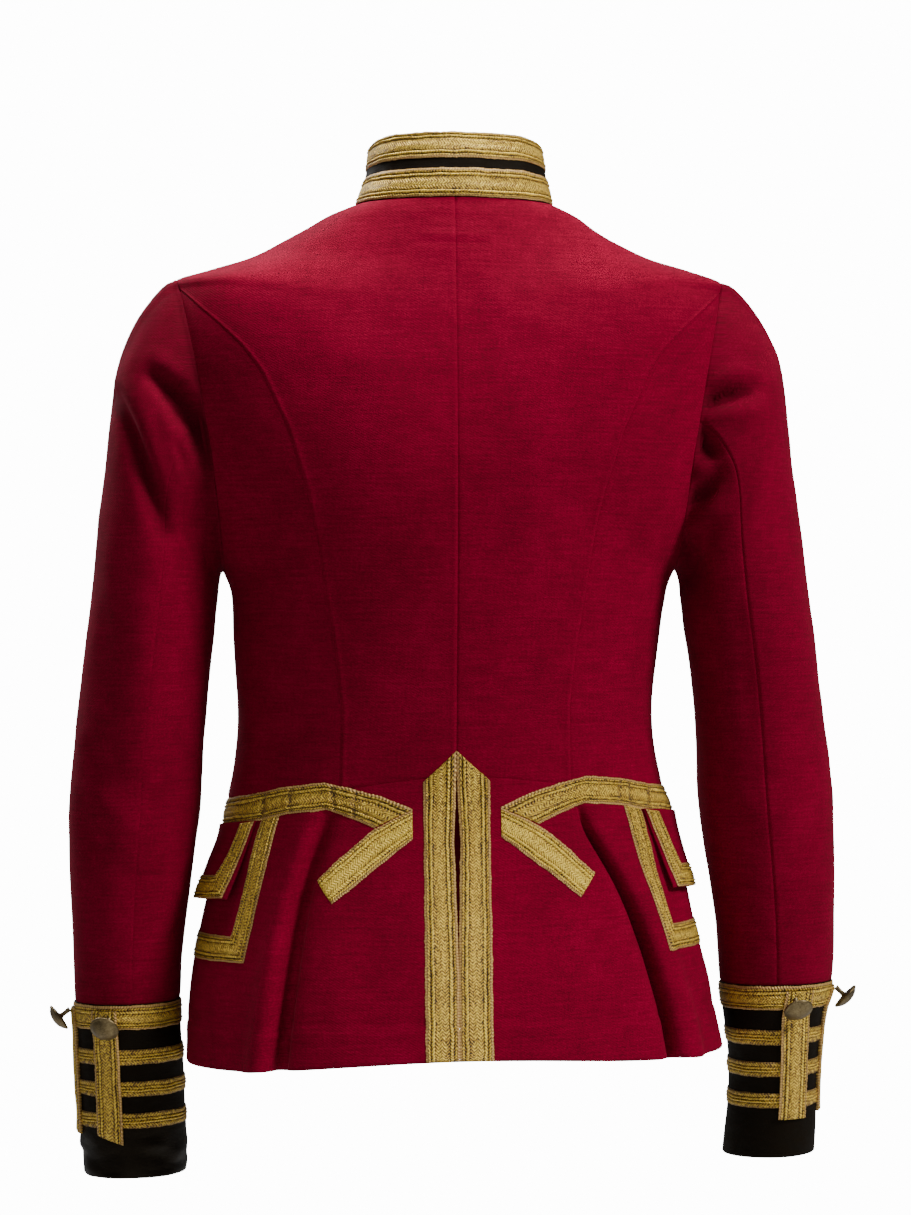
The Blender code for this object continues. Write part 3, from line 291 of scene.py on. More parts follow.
sleeveCreases = {
    "left": (
        (1, -9.5, 6.5, (234, -134), (223, -160), (211, -192), (199, -226)),
        (1, 1.3, 8, (222, -128), (212, -152), (204, -184)),
        (1, -10.0, 8, (207, -122), (191, -137), (176, -156), (168, -180)),
        (1, 1.2, 7, (206, -106), (190, -120), (176, -136)),
        (1, 1.6, 7, (199, -150), (190, -172), (182, -196)), (1, -2.2, 4, (190, -168), (186, -180), (183, -190)),
        (1, -2.4, 8, (170, -190), (176, -214), (186, -236)), (1, -2.6, 10, (250, -374), (228, -396), (206, -404)),
        (1, 1.6, 8, (250, -400), (230, -420), (206, -428)), (1, -2.0, 8, (254, -424), (238, -448), (216, -462)),
        (1, 2.2, 14, (208, -250), (212, -330), (214, -390)), (1, -1.6, 5, (190, -398), (204, -410), (216, -428)),
        (1, -1.2, 5, (196, -518), (216, -524), (240, -520)), (1, -1.8, 9, (246, -250), (240, -300), (244, -350)),
        (-1, -4.4, 8, (222, -150), (208, -176), (186, -206)), (-1, 2.4, 8, (220, -174), (204, -198), (184, -226)),
        (-1, -3.4, 9, (196, -112), (182, -140), (172, -170)), (-1, -3.6, 9, (244, -372), (218, -388), (190, -392)),
        (-1, 2.2, 8, (248, -394), (222, -410), (192, -412)), (-1, -2.8, 8, (250, -416), (224, -434), (198, -432)),
        (-1, -2.2, 8, (236, -350), (212, -362), (188, -362)), (-1, -1.4, 6, (200, -516), (224, -522), (248, -516))),
    "right": (
        (1, -8.5, 5.2, (-166, -143), (-186, -134), (-208, -128)),
        (1, 2.6, 6, (-170, -130), (-190, -121), (-208, -116)),
        (1, 2.4, 6, (-176, -150), (-196, -146), (-212, -146)),
        (1, -8.5, 6.5, (-166, -154), (-173, -168), (-181, -182)),
        (1, -8.5, 5.5, (-160, -210), (-172, -202), (-181, -192)),
        (1, 2.6, 5, (-164, -190), (-174, -184), (-186, -182)),
        (1, 2.6, 5, (-162, -226), (-174, -220), (-186, -214)),
        (1, -6.5, 6.5, (-156, -232), (-166, -248), (-171, -274)),
        (1, -2.2, 8, (-248, -390), (-228, -406), (-212, -408)), (1, 1.4, 8, (-252, -414), (-234, -430), (-214, -432)),
        (1, -1.9, 7, (-254, -440), (-240, -460), (-224, -474)),
        (1, -1.6, 6, (-184, -414), (-198, -432), (-204, -450)),
        (1, 1.8, 14, (-232, -240), (-238, -320), (-240, -390)),
        (1, -1.2, 5, (-204, -514), (-226, -522), (-248, -516)),
        (1, -1.6, 8, (-196, -280), (-202, -330), (-206, -380)), (1, -1.6, 7, (-222, -96), (-214, -112), (-200, -118)),
        (-1, -4.2, 8, (-222, -148), (-206, -170), (-186, -196)),
        (-1, 2.4, 8, (-220, -172), (-204, -192), (-184, -218)),
        (-1, -3.4, 9, (-196, -110), (-182, -134), (-172, -160)),
        (-1, -3.6, 9, (-246, -368), (-220, -386), (-190, -388)),
        (-1, 2.2, 8, (-250, -390), (-224, -406), (-192, -410)),
        (-1, -2.8, 8, (-252, -412), (-226, -428), (-198, -430)),
        (-1, -2.2, 8, (-238, -346), (-214, -358), (-188, -360)),
        (-1, -1.4, 6, (-204, -514), (-226, -520), (-250, -516))),
}
lattice = np.random.RandomState(7).rand(24, 24, 24)


def softNoise(points, size):
    # smooth random swell of about one lump per size, from -1 to 1
    p = np.asarray(points) / size + 50
    i = np.floor(p).astype(int)
    f = p - i
    f = f * f * (3 - 2 * f)
    total = 0
    for corner in np.ndindex(2, 2, 2):
        c = np.array(corner)
        j = (i + c) % 24
        total = total + np.prod(np.where(c, f, 1 - f), axis=-1) * lattice[j[..., 0], j[..., 1], j[..., 2]]
    return 2 * total - 1


def swells(points, parts):
    return sum(height * softNoise(points + shift, size) for height, shift, size in parts)


def creaseRelief(creases, points, facing):
    # facing is above 0 on the back of the piece and below 0 on its front
    flat, face = points[..., [0, 2]].reshape(-1, 2), facing.reshape(-1)
    relief = np.zeros(len(flat))
    for way, depth, width, *route in creases:
        route = np.array(route, float)
        starts = alongLine(route)
        best, along = np.full(len(flat), 1e9), np.zeros(len(flat))
        for a, leg, start in zip(route, np.diff(route, axis=0), starts):
            share = np.clip((flat - a) @ leg / (leg @ leg), 0, 1)
            away = np.linalg.norm(flat - a - share[:, None] * leg, axis=1)
            near = away < best
            best = np.where(near, away, best)
            along = np.where(near, (start + share * math.hypot(*leg)) / starts[-1], along)
        taper = np.sin(np.clip(0.12 + 0.76 * along, 0, 1) * math.pi) ** 0.8
        relief += depth * taper * bell(best, width * (0.75 + 0.5 * along)) * smoothstep(0.5 + way * face / 12)
    return relief.reshape(facing.shape)


# how far each pleat falls, how soft its two sides are (mm), and the ridge beside it
pleatLook = {"left": {"most": 5.0, "near": 4.6, "far": 3.2, "ridge": 0.85, "at": 12.0, "spread": 6.0},
             "right": {"most": 6.0, "near": 1.5, "far": 2.2, "ridge": 0.5, "at": 8.0, "spread": 4.2},
             "front": {"most": 4.0, "near": 1.7, "far": 2.6, "ridge": 0.5, "at": 8.0, "spread": 4.2},
             "starts": 0.5, "full": 2.0, "line": 0.9}  # rows below the waist, then mm


def pleatFold(side, t, u):
    # the centre side of each pleat falls crisply into its valley, the other side rises softly out of it
    fold = np.zeros(u.shape)
    grown = smoothstep((t - waistRow - pleatLook["starts"]) / pleatLook["full"])
    for face, look in ((1, pleatLook[word(side)]), (-1, pleatLook["front"])):
        valley = valleyAngle(side, t, face)
        away = (valley - face * u) * halfWidth(side, t) * np.hypot(np.sin(valley), 0.6 * np.cos(valley))
        past = away - pleatLook["line"]
        shape = look["ridge"] * bell(away - look["at"], look["spread"])
        shape = shape - bell(past, np.where(past < 0, look["near"], look["far"]))
        fold = fold + np.where(face * u > 0, look["most"] * grown * shape, 0)
    return fold


# the imprint of a stitched rectangle below the collar: its sides, its two lines and their height
nape = {"left": 29.5, "right": -23.5, "lines": (-11.0, -28.5), "ridge": 0.9}


def napeRelief(points):
    x, z = points[..., 0], points[..., 2]
    inside = smoothstep((nape["left"] + 2 - x) / 3) * smoothstep((x - nape["right"] + 2) / 3)
    relief = np.zeros(x.shape)
    for height in nape["lines"]:
        away = z - height - 0.4 * softNoise(points + 9, 14)
        relief = relief + bell(away, 1.5) - 0.6 * bell(away + 2.6, 1.3)
    pucker = 0.75 + 0.5 * softNoise(points + 3, 6)
    return nape["ridge"] * relief * inside * pucker * (points[..., 1] > 20)


# swells: height, shift and size of soft lumps in the cloth
bodyDrape = {"swells": ((0.8, 0, 52), (0.3, 31, 19)), "waistTuck": 0.35, "waistPucker": 0.3, "calmReach": 9.0}


def bodySkin(side, t, u, folded=True):
    # the cloth's outer surface with its drape; the braids lie on it and bridge the pleats
    point, normal = bodyFrame(side, t, u)
    t = np.broadcast_to(t, u.shape)
    relief = creaseRelief(bodyCreases, point, point[..., 1] + 8) + napeRelief(point)
    relief = relief + swells(point, bodyDrape["swells"]) + (pleatFold(side, t, u) if folded else 0)
    # the waist seam draws the cloth in
    pucker = bodyDrape["waistPucker"] * softNoise(point + 77, 11) - bodyDrape["waistTuck"]
    relief = relief + bell(t - waistRow, 0.35) * pucker
    # nothing stands out of line at the armhole, where the sleeve meets the body
    beyond = 22 * np.clip(shoulderRow - t, 0, None) + 17 * np.clip(t - underarmRow, 0, None)
    off = np.hypot(np.abs(np.abs(u) - armholeAngle(side, t)) * halfWidth(side, t), beyond)
    relief = relief * smoothstep(0.25 + t / 1.5) * (1 - bell(off, bodyDrape["calmReach"]))
    return point + normal * relief[..., None], normal


def sleeveForm(side):
    # curves of one sleeve, worked on the wearer's left and mirrored
    rows = np.linspace(shoulderRow, underarmRow, armholePoints // 2 + 1)
    loop = np.concatenate([bodyPoint(side, rows, armholeAngle(side, rows)),
                           bodyPoint(side, rows[-2:0:-1], -armholeAngle(side, rows[-2:0:-1]))])
    loop[:, 0] *= side
    top, low = loop[0], loop[armholePoints // 2]
    slope = (top - low) * np.array([1, 0, 1])
    along, reach = unit(slope), np.linalg.norm(slope) / 2
    across = (loop[:, 1] - sleeveRows["centreY"][0]) / sleeveRows["halfDepth"][0]
    angles = np.unwrap(np.arctan2(across, (loop - (top + low) / 2) @ along / reach))
    known = np.append(angles - angles[0], 2 * math.pi)

    def ellipse(v, angle):
        outer, inner = (np.stack([through(sleeveRows[sided(edge, side)], v), through(sleeveRows[edge + "Z"], v)], -1)
                        for edge in ("outer", "inner"))
        place = (outer + inner) / 2 + (outer - inner) / 2 * np.cos(angle)[..., None]
        y = through(sleeveRows["centreY"], v) + through(sleeveRows["halfDepth"], v) * np.sin(angle)
        return np.stack([place[..., 0], y, place[..., 1]], -1)

    difference = loop - ellipse(np.zeros(armholePoints), known[:-1])
    difference = np.vstack([difference, difference[:1]])

    def pointAt(v, angle):
        v, angle = matched(v, angle)
        rest = np.mod(angle, 2 * math.pi)
        extra = np.stack([np.interp(rest, known, difference[:, k]) for k in range(3)], -1)
        return ellipse(v, angle) + (1 - smoothstep(v / 6.0))[..., None] * extra

    def angleAt(v, j):
        turns, rest = divmod(j, armholePoints)
        arm = np.interp(rest, np.arange(armholePoints + 1), known)
        share = smoothstep(np.asarray(v, float) / 9.0)
        return arm + (rest / armholePoints * 2 * math.pi - arm) * share + turns * 2 * math.pi

    def frameAt(v, angle):
        v, angle = matched(v, angle)
        normal = normalOf(pointAt, np.clip(v, 0.02, cuffEnd - 0.02), angle, 0.02, 0.02)
        point = pointAt(v, angle)
        centre = (ellipse(v, np.full_like(v, quarter)) + ellipse(v, np.full_like(v, -quarter))) / 2
        return point, normal * np.sign(np.sum((point - centre) * normal, axis=-1, keepdims=True))

    return {"pointAt": pointAt, "angleAt": angleAt, "frameAt": frameAt,
            "plane": np.array([along[2], 0, -along[0]])}


sleeves = {side: sleeveForm(side) for side in (1, -1)}
sleeveDrape = {"swells": ((0.7, 0, 44), (0.35, 13, 17)), "head": 0.6, "cuffGather": 0.5}


def sleeveSkin(side, v, angle):
    v, angle = matched(v, angle)
    point, normal = (part * np.array([side, 1, 1]) for part in sleeves[side]["frameAt"](v, angle))
    facing = point[..., 1] - through(sleeveRows["centreY"], v)
    relief = creaseRelief(sleeveCreases[word(side)], point, facing) + swells(point, sleeveDrape["swells"])
    head = bell(v - 0.8, 0.8) * np.clip(np.cos(angle) + 0.3, 0, 1)
    gather = bell(v - cuffRow, 0.3) * (sleeveDrape["cuffGather"] * softNoise(point + 5, 13) - 0.3)
    relief = relief + sleeveDrape["head"] * head + gather
    relief = relief * smoothstep(v / 0.8) * np.where(v > cuffRow, 0.4, 1.0)
    if side > 0:  # the left cuff is creased near its edge
        line = bell(v - 20.2 - 0.25 * np.sin(3 * angle), 0.2)
        lumps = 1.3 * softNoise(point * np.array([1, 1, 2.2]), 17)
        relief = relief + smoothstep(v - 19.2) * (lumps - 0.8 * line)
    else:
        relief = relief + smoothstep((v - 18) / 2) * 0.5 * softNoise(point, 24)
    return point + normal * relief[..., None], normal


def collarPoint(side, k, u):
    (farY, sideY), (farZ, sideZ) = curves(collarRows, "Y", k, u), curves(collarRows, "Z", k, u)
    swing = np.where(u >= 0, smoothstep(u / math.radians(50)), swingOf(u))
    x = through(collarRows[sided("half", side)], k) * np.cos(u)
    return np.stack([side * x, sideY + (farY - sideY) * np.abs(np.sin(u)), sideZ + (farZ - sideZ) * swing], -1)


def collarSkin(side, k, u):
    k, u = matched(k, u)
    normal = normalOf(partial(collarPoint, side), np.clip(k, 0.03, 2.97), u, 0.02, 0.02) * -side
    point = collarPoint(side, k, u)
    return point + normal * (0.35 * softNoise(point, 26))[..., None], normal


# materials
def newMaterial(name):
    material = bpy.data.materials.new(name)
    material.use_nodes = True
    return material, material.node_tree, material.node_tree.nodes["Principled BSDF"]


def node(tree, kind, settings=None, **sockets):
    made = tree.nodes.new("ShaderNode" + kind)
    for key, value in (settings or {}).items():
        setattr(made, key, value)
    for key, value in sockets.items():
        spot = made.inputs[int(key[1:])] if key[0] == "i" and key[1:].isdigit() else made.inputs[key]
        if isinstance(value, bpy.types.NodeSocket):
            tree.links.new(value, spot)
        else:
            spot.default_value = value
    return made


def mathNode(tree, operation, a, b=0.0, c=0.0):
    return node(tree, "Math", {"operation": operation}, i0=a, i1=b, i2=c).outputs[0]


def added(tree, base, *parts):
    # the base, and each part times its share
    for part, share in parts:
        base = mathNode(tree, "MULTIPLY_ADD", part, share, base)
    return base


def mixColours(tree, factor, a, b):
    return node(tree, "Mix", {"data_type": "RGBA"}, i0=factor, i6=a, i7=b).outputs[2]


def ramp(tree, factor, *stops):
    made = node(tree, "ValToRGB", i0=factor)
    bar = made.color_ramp
    while len(bar.elements) < len(stops):
        bar.elements.new(0.5)
    for element, (place, colour) in zip(bar.elements, stops):
        element.position = place
        element.color = (*colour, 1)
    return made.outputs[0]


def turned(tree, vector, scale=(1, 1, 1), turn=0.0):
    return node(tree, "Mapping", Vector=vector, Rotation=(0, 0, turn), Scale=scale).outputs[0]


def noise(tree, vector, scale, detail=2.0, rough=0.5, turn=0.0):
    vector = turned(tree, vector, scale, turn)
    return node(tree, "TexNoise", Vector=vector, Scale=1.0, Detail=detail, Roughness=rough).outputs[0]


def attribute(tree, label):
    return node(tree, "Attribute", {"attribute_name": label}).outputs["Vector"]


def parted(tree, label):
    # the three numbers of a point attribute
    return node(tree, "SeparateXYZ", i0=attribute(tree, label)).outputs


def shaded(tree, shader, look, colour, height, rough):
    bump = node(tree, "Bump", Strength=look["bump"][0], Distance=look["bump"][1], Height=height)
    for label, made in (("Base Color", colour), ("Normal", bump.outputs[0]), ("Roughness", rough)):
        tree.links.new(made, shader.inputs[label])
    for label, value in look["shader"].items():
        shader.inputs[label].default_value = value


# in each material: bump is its strength and its height in metres, level is how light the whole cloth is,
# and shader holds what is the same all over
redCloth = {"dark": (0.095, 0.0, 0.008), "mid": (0.20, 0.0, 0.0165), "light": (0.33, 0.001, 0.033),
            "shade": (0.02, 0.0004, 0.002), "inside": 0.55, "twill": 1.5, "lean": 1.08, "level": -0.685,
            "bump": (0.5, 0.0005), "roughness": 0.82,
            "shader": {"Sheen Weight": 0.05, "Sheen Roughness": 0.45, "Sheen Tint": (1.0, 0.12, 0.2, 1),
                       "Specular IOR Level": 0.08}}


def makeRed():
    # the grain field: across and along in mm, and how far the colour is darkened: painted shade on the sleeves, and
    # the whole inner side of each sheet
    look = redCloth
    material, tree, shader = newMaterial("redWoolTwill")
    across, along, shade = parted(tree, "grain")
    flat = node(tree, "CombineXYZ", i0=across, i1=along).outputs[0]
    waves = (("X", turned(tree, flat, turn=look["lean"]), look["twill"], 1.2), ("Y", flat, look["twill"] * 0.7, 2.0))
    twill, threads = (node(tree, "TexWave", {"bands_direction": way}, Vector=vector, Scale=0.314 / apart,
                           Distortion=distortion, Detail=2.0).outputs[1] for way, vector, apart, distortion in waves)
    slubs = noise(tree, flat, (0.035, 0.6, 1), 3.0, 0.6)
    nap = noise(tree, flat, (0.5, 0.8, 1), 5.0, 0.72)
    cloud = noise(tree, flat, (0.02, 0.013, 1))
    blotch = noise(tree, flat, (0.1, 0.08, 1), 3.0)
    rib = noise(tree, flat, (0.9, 0.12, 1), 3.0, 0.6, look["lean"])  # runs along the twill
    tone = added(tree, look["level"], (twill, 0.05), (slubs, 0.5), (rib, 0.26), (nap, 0.95), (cloud, 0.3),
                 (blotch, 0.24), (threads, 0.04))
    colour = ramp(tree, tone, (0.18, look["dark"]), (0.5, look["mid"]), (0.86, look["light"]))
    # painted shade: the colour is mixed towards near black by the grain field's third value
    colour = mixColours(tree, mathNode(tree, "MULTIPLY", shade, look["inside"]), colour, (*look["shade"], 1))
    shaded(tree, shader, look, colour, added(tree, 0.0, (twill, 0.2), (nap, 0.9)),
           added(tree, look["roughness"], (nap, 0.16)))
    return material


blackCloth = {"dark": (0.0012, 0.0006, 0.0002), "light": (0.0075, 0.0042, 0.0018), "satin": 0.34,
              "bump": (0.6, 0.0003), "roughness": 0.47,
              "shader": {"Sheen Weight": 0.01, "Sheen Roughness": 0.35, "Sheen Tint": (0.8, 0.6, 0.5, 1),
                         "Specular IOR Level": 0.12, "Specular Tint": (1.0, 0.84, 0.62, 1)}}


def makeBlack():
    look = blackCloth
    material, tree, shader = newMaterial("blackVelvet")
    grain = attribute(tree, "grain")
    pile = noise(tree, grain, (1.3, 1.0, 1), 4.0, 0.6)
    crush = noise(tree, grain, (0.07, 0.16, 1), 3.0, 0.55)
    smooth = parted(tree, "grain")[2]  # the left cuff's lower part is satin-like
    tone = added(tree, 0.0, (pile, 0.5), (crush, 0.5))
    shaded(tree, shader, look, ramp(tree, tone, (0.3, look["dark"]), (0.75, look["light"])),
           added(tree, pile, (crush, 3.0)), added(tree, look["roughness"], (crush, 0.5), (smooth, -look["satin"])))
    return material


goldBraid = {"groove": (0.035, 0.014, 0.002), "low": (0.27, 0.145, 0.03), "mid": (0.61, 0.36, 0.032),
             "bright": (1.0, 0.72, 0.095), "picot": (0.92, 0.62, 0.2), "behind": (0.4, 0.15, 0.03),
             "herringbone": 2.1, "columns": 2.3, "teeth": 1.9, "level": -2.15,
             "bump": (0.7, 0.0012), "roughness": 0.32, "shader": {"Metallic": 0.3}}


def makeGold():
    # the braid field: along in mm, across in mm, tone of the profile there (below 0 at a picot edge)
    look = goldBraid
    material, tree, shader = newMaterial("goldBraid")
    along, across, tone = parted(tree, "braid")
    zigzag = mathNode(tree, "ADD", along, mathNode(tree, "PINGPONG", across, look["columns"]))
    weave, teeth = (mathNode(tree, "SINE", mathNode(tree, "MULTIPLY", place, 2 * math.pi / apart))
                    for place, apart in ((zigzag, look["herringbone"]), (along, look["teeth"])))
    flat = node(tree, "CombineXYZ", i0=along, i1=across).outputs[0]
    glint = noise(tree, flat, (0.5, 0.62, 1), 4.0, 0.8)
    spark = noise(tree, flat, (0.3, 0.36, 1), 5.0, 0.9)
    age = noise(tree, flat, (0.05, 0.09, 1), 3.0, 0.6)
    level = added(tree, look["level"], (mathNode(tree, "MAXIMUM", tone, 0.0), 0.62), (weave, 0.21), (glint, 2.2),
                  (spark, 1.8), (age, 0.5))
    colour = ramp(tree, level, (0.08, look["groove"]), (0.3, look["low"]), (0.54, look["mid"]),
                  (0.84, look["bright"]))
    edge = mixColours(tree, added(tree, 0.0, (teeth, 0.3), (glint, 1.1)), (*look["behind"], 1), (*look["picot"], 1))
    colour = mixColours(tree, mathNode(tree, "MULTIPLY", tone, -0.85), colour, edge)
    shaded(tree, shader, look, colour, added(tree, 0.0, (weave, 0.3), (glint, 0.9)),
           added(tree, look["roughness"], (glint, 0.25)))
    return material


brass = {"dark": (0.035, 0.026, 0.012), "mid": (0.16, 0.115, 0.052), "bright": (0.36, 0.28, 0.14),
         "bump": (0.35, 0.0002), "roughness": 0.28, "shader": {"Metallic": 0.85}}


def makeBrass():
    look = brass
    material, tree, shader = newMaterial("agedBrass")
    place = node(tree, "TexCoord").outputs["Object"]
    patina = noise(tree, place, (120, 120, 120), 5.0, 0.6)
    specks = noise(tree, place, (900, 900, 900), 3.0, 0.6)
    tone = added(tree, 0.0, (patina, 0.7), (specks, 0.3))
    colour = ramp(tree, tone, (0.3, look["dark"]), (0.52, look["mid"]), (0.75, look["bright"]))
    shaded(tree, shader, look, colour, specks, added(tree, look["roughness"], (patina, 0.3)))
    return material


# material and slot of every finish
finishes = {"red": (makeRed(), "red_cloth"), "black": (makeBlack(), "black_cloth"),
            "gold": (makeGold(), "gold_braid"), "brass": (makeBrass(), "antique_brass")}
print("materials made")


# mesh helpers
def fieldOf(*parts):
    # three numbers at every point, for a material to read
    return np.stack(np.broadcast_arrays(*parts), -1)


def makeMesh(name, points, faces, finish, field=None, extra=False):
    # extra: a piece that stands for no node
    material, slot = finishes[finish]
    mesh = bpy.data.meshes.new(pieceName(name))
    mesh.from_pydata((settle(points) * mm).tolist(), [], faces)
    if field:
        mesh.attributes.new(field[0], "FLOAT_VECTOR", "POINT").data.foreach_set("vector", np.ravel(field[1]))
    mesh.materials.append(material)
    mesh.shade_smooth()
    mesh.set_sharp_from_angle(angle=math.radians(55))
    piece = bpy.data.objects.new(pieceName(name), mesh)
    bpy.context.scene.collection.objects.link(piece)
    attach(piece, "root")
    if not extra:
        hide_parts(name)
    totals["triangles"] += sum(len(f) - 2 for f in faces)
    return piece


def gridFaces(at):
    return np.stack([at[:-1, :-1], at[:-1, 1:], at[1:, 1:], at[1:, :-1]], -1).reshape(-1, 4)


def outwardFaces(points, faces, away):
    # turns the faces round if the first ones look inward
    first = points[faces[: max(1, len(faces) // 3)]]
    looks = np.cross(first[:, 1] - first[:, 0], first[:, 2] - first[:, 0])
    return faces if np.sum(looks * away[faces[: len(first), 0]]) > 0 else faces[:, ::-1]


def sheetMesh(name, outer, inner, grain, finish, closed=False, extra=False):
    # outer and inner points on the same rows and columns, joined at the edges
    rows, columns = outer.shape[:2]
    count = rows * columns
    at = np.arange(count).reshape(rows, columns)
    if closed:
        at = np.concatenate([at, at[:, :1]], axis=1)
    quads = gridFaces(at)
    faces = [quads, quads[:, ::-1] + count]
    for line in (at[0][::-1], at[-1]) if closed else (at[0][::-1], at[-1], at[:, -1][::-1], at[:, 0]):
        faces.append(np.stack([line[:-1], line[1:], line[1:] + count, line[:-1] + count], -1))
    points = np.concatenate([outer.reshape(-1, 3), inner.reshape(-1, 3)])
    away = np.tile((outer - inner).reshape(-1, 3), (2, 1))
    faces = outwardFaces(points, np.concatenate(faces), away)
    grains = np.tile(grain.reshape(-1, 3), (2, 1))
    grains[count:, 2] = 1.0  # the inner side
    return makeMesh(name, points, faces.tolist(), finish, ("grain", grains), extra)


def addSheet(name, base, normal, raised, wall, grain, finish, closed=False):
    # a sheet of cloth on its base form: its outer side is raised and its inner side a wall's depth below;
    # its flat size is the longest run across and down it
    outer = base + normal * raised[..., None]
    piece = sheetMesh(name, outer, base - normal * wall, grain, finish, closed)
    grid = np.concatenate([base, base[:, :1]], axis=1) if closed else base
    width, length = (max(alongLine(grid, axis).take(-1, axis).max() * mm, 0.0101) for axis in (1, 0))


nearEdge = np.array([0, 0.35, 0.9, 1.6, 2.5, 3.7, 5.2, 7.2])  # how the points start from an edge


def stepCount(total, spacing):
    return max(2, math.ceil((total - 2 * nearEdge[-1]) / spacing))


def placesAcross(total, count):
    # distances that are close together near both edges
    near = nearEdge * min(1.0, total / (nearEdge[-1] * 3.2))
    middle = np.linspace(near[-1], total - near[-1], count + 1)[1:-1]
    return np.concatenate([near, middle, (total - near)[::-1]])


def seamEdge(distance, allowance=0.0, depth=1.0):
    # the cloth turns in at a seam; the side that the allowance is pressed to stands up a little
    return depth * (-0.55 * bell(distance, 0.7) - 0.15 * bell(distance, 2.4)) + allowance * bell(distance - 2.3, 1.6)


def columnsOf(surface, starts, ends, rows, spacing, valley=None):
    # angles across a panel at each row, and how far each stands from the panel's first edge;
    # with a valley the columns lie along it, close together beside it
    samples = np.linspace(0, 1, 121)
    grid = starts[:, None] + (ends - starts)[:, None] * samples
    lengths = alongLine(surface(np.broadcast_to(rows[:, None], grid.shape), grid), 1)
    if valley is None:
        parts = lengths[:, -1:]
    else:
        share = (valley - starts) / (ends - starts)
        reach = np.array([np.interp(s, samples, line) for s, line in zip(share, lengths)])
        parts = np.stack([reach, lengths[:, -1] - reach], -1)
    counts = [stepCount(part.max(), spacing) for part in parts.T]
    angles, places = [], []
    for part, line, around in zip(parts, lengths, grid):
        gap = min(0.5 * seamGap, line[-1] * 0.2)
        place = placesAcross(part[0] - (2 if valley is None else 1) * gap, counts[0])
        if valley is not None:
            place = np.append(place, part[0] - gap + placesAcross(part[1] - gap, counts[1])[1:])
        places.append(place)
        angles.append(np.interp(place + gap, line, around))
    return np.array(angles), np.array(places)


def rowsOf(surface, first, last, at, spacing, seams):
    # rows close together at both ends, drawn in by half the seam gap where they meet a seam
    samples = np.linspace(first, last, 400)
    lengths = alongLine(surface(samples, np.full(400, at)))
    cut = [0.5 * seamGap if seam else 0.0 for seam in seams]
    place = placesAcross(lengths[-1] - sum(cut), stepCount(lengths[-1], spacing))
    return np.interp(place + cut[0], lengths, samples), place


def cornerRows(rows, places, corners):
    # moves the nearest row onto each corner of a panel
    rows, places = rows.copy(), places.copy()
    for corner in corners:
        i = int(np.argmin(np.abs(rows - corner)))
        if 0 < i < len(rows) - 1:
            places[i] = np.interp(corner, rows, places)
            rows[i] = corner
    return rows, places


# edges of the body panels, as angles at each row
def centreBack(side, t):
    return np.full(len(t), quarter)


def sideLine(side, t):
    return np.zeros(len(t))


def backEdge(side, t):
    return np.where(t <= princessRow, armholeAngle(side, t), princessAngle(side, t))


def frontArmhole(side, t):
    return -armholeAngle(side, t)


def frontEdge(side, t):
    return -np.arccos(-lapWidth / halfWidth(side, t))


def ventEdge(side, t):
    return np.arccos(down(vent["z"], vent["gap"], bodyPoint(side, t, quarter)[:, 2]) / halfWidth(side, t))


# body panels; armhole, seam and centreBack are how deep these seams look, hemStitch is how high the hem is sewn,
# neckDrop is how far the lap's top corner is lowered, in rows, and lapFrom is where the lap begins, in mm
panelLook = {"spacing": 4.2, "rowSpacing": 3.2, "hemStitch": 27.0, "armhole": 0.15, "seam": 0.5, "centreBack": 1.0,
             "neckDrop": (0.75, 0.5), "neckReach": 0.12, "lapFrom": 30.0, "lapFade": 13.0}


def addPanel(name, side, span, at, corners, startAt, endAt, allowances=(0.0, 0.0), hem=False, front=False,
             face=0):
    surface = partial(bodyPoint, side)
    rows, rowPlaces = rowsOf(surface, *span, at, panelLook["rowSpacing"], (hem, not hem))
    rows, rowPlaces = cornerRows(rows, rowPlaces, corners)
    starts, ends = startAt(side, rows), endAt(side, rows)
    valley = face * valleyAngle(side, rows, face) if face else None
    angles, places = columnsOf(surface, starts, ends, rows, panelLook["spacing"], valley)
    t = np.broadcast_to(rows[:, None], angles.shape).copy()
    neck = front and not hem
    if neck:  # the lap's top corner is lowered a little, as the solid's is
        share = smoothstep((angles[0] + quarter) / -panelLook["neckReach"])
        first, next5 = panelLook["neckDrop"]
        t[0] += first * share
        t[1:6] += next5 * share * np.linspace(1, 0, 5)[:, None]
    point, normal = bodySkin(side, t, angles)
    if front and side > 0:  # the left front goes under the right one
        lapped = smoothstep((panelLook["lapFrom"] - point[..., 0]) / panelLook["lapFade"])
        point = point - normal * (lapInset * lapped)[..., None]
    beyond = (rows > underarmRow) | (rows < shoulderRow - 0.4)
    turn = 0
    for edge, allowance, away in ((starts, allowances[0], places), (ends, allowances[1], places[:, -1:] - places)):
        onArmhole = (np.abs(np.abs(edge) - armholeAngle(side, rows)) < 0.001) & ~beyond
        plain = np.where(edge == quarter, panelLook["centreBack"], panelLook["seam"])
        turn = turn + seamEdge(away, allowance, np.where(onArmhole, panelLook["armhole"], plain)[:, None])
    if not neck:
        turn = turn + seamEdge(rowPlaces)[:, None]
    up = rowPlaces[-1] - rowPlaces
    line = up - panelLook["hemStitch"]
    # a hem has a rolled edge, the dent of its stitches and a soft swell above them
    soft = -0.5 * bell(up, 0.8) - 0.55 * bell(line, 1.9) + 0.3 * bell(line + 6, 4.5)
    turn = turn + (soft if hem else seamEdge(up))[:, None]
    addSheet(name, point, normal, turn, cloth, fieldOf(side * places, point[..., 2], 0.0), "red")


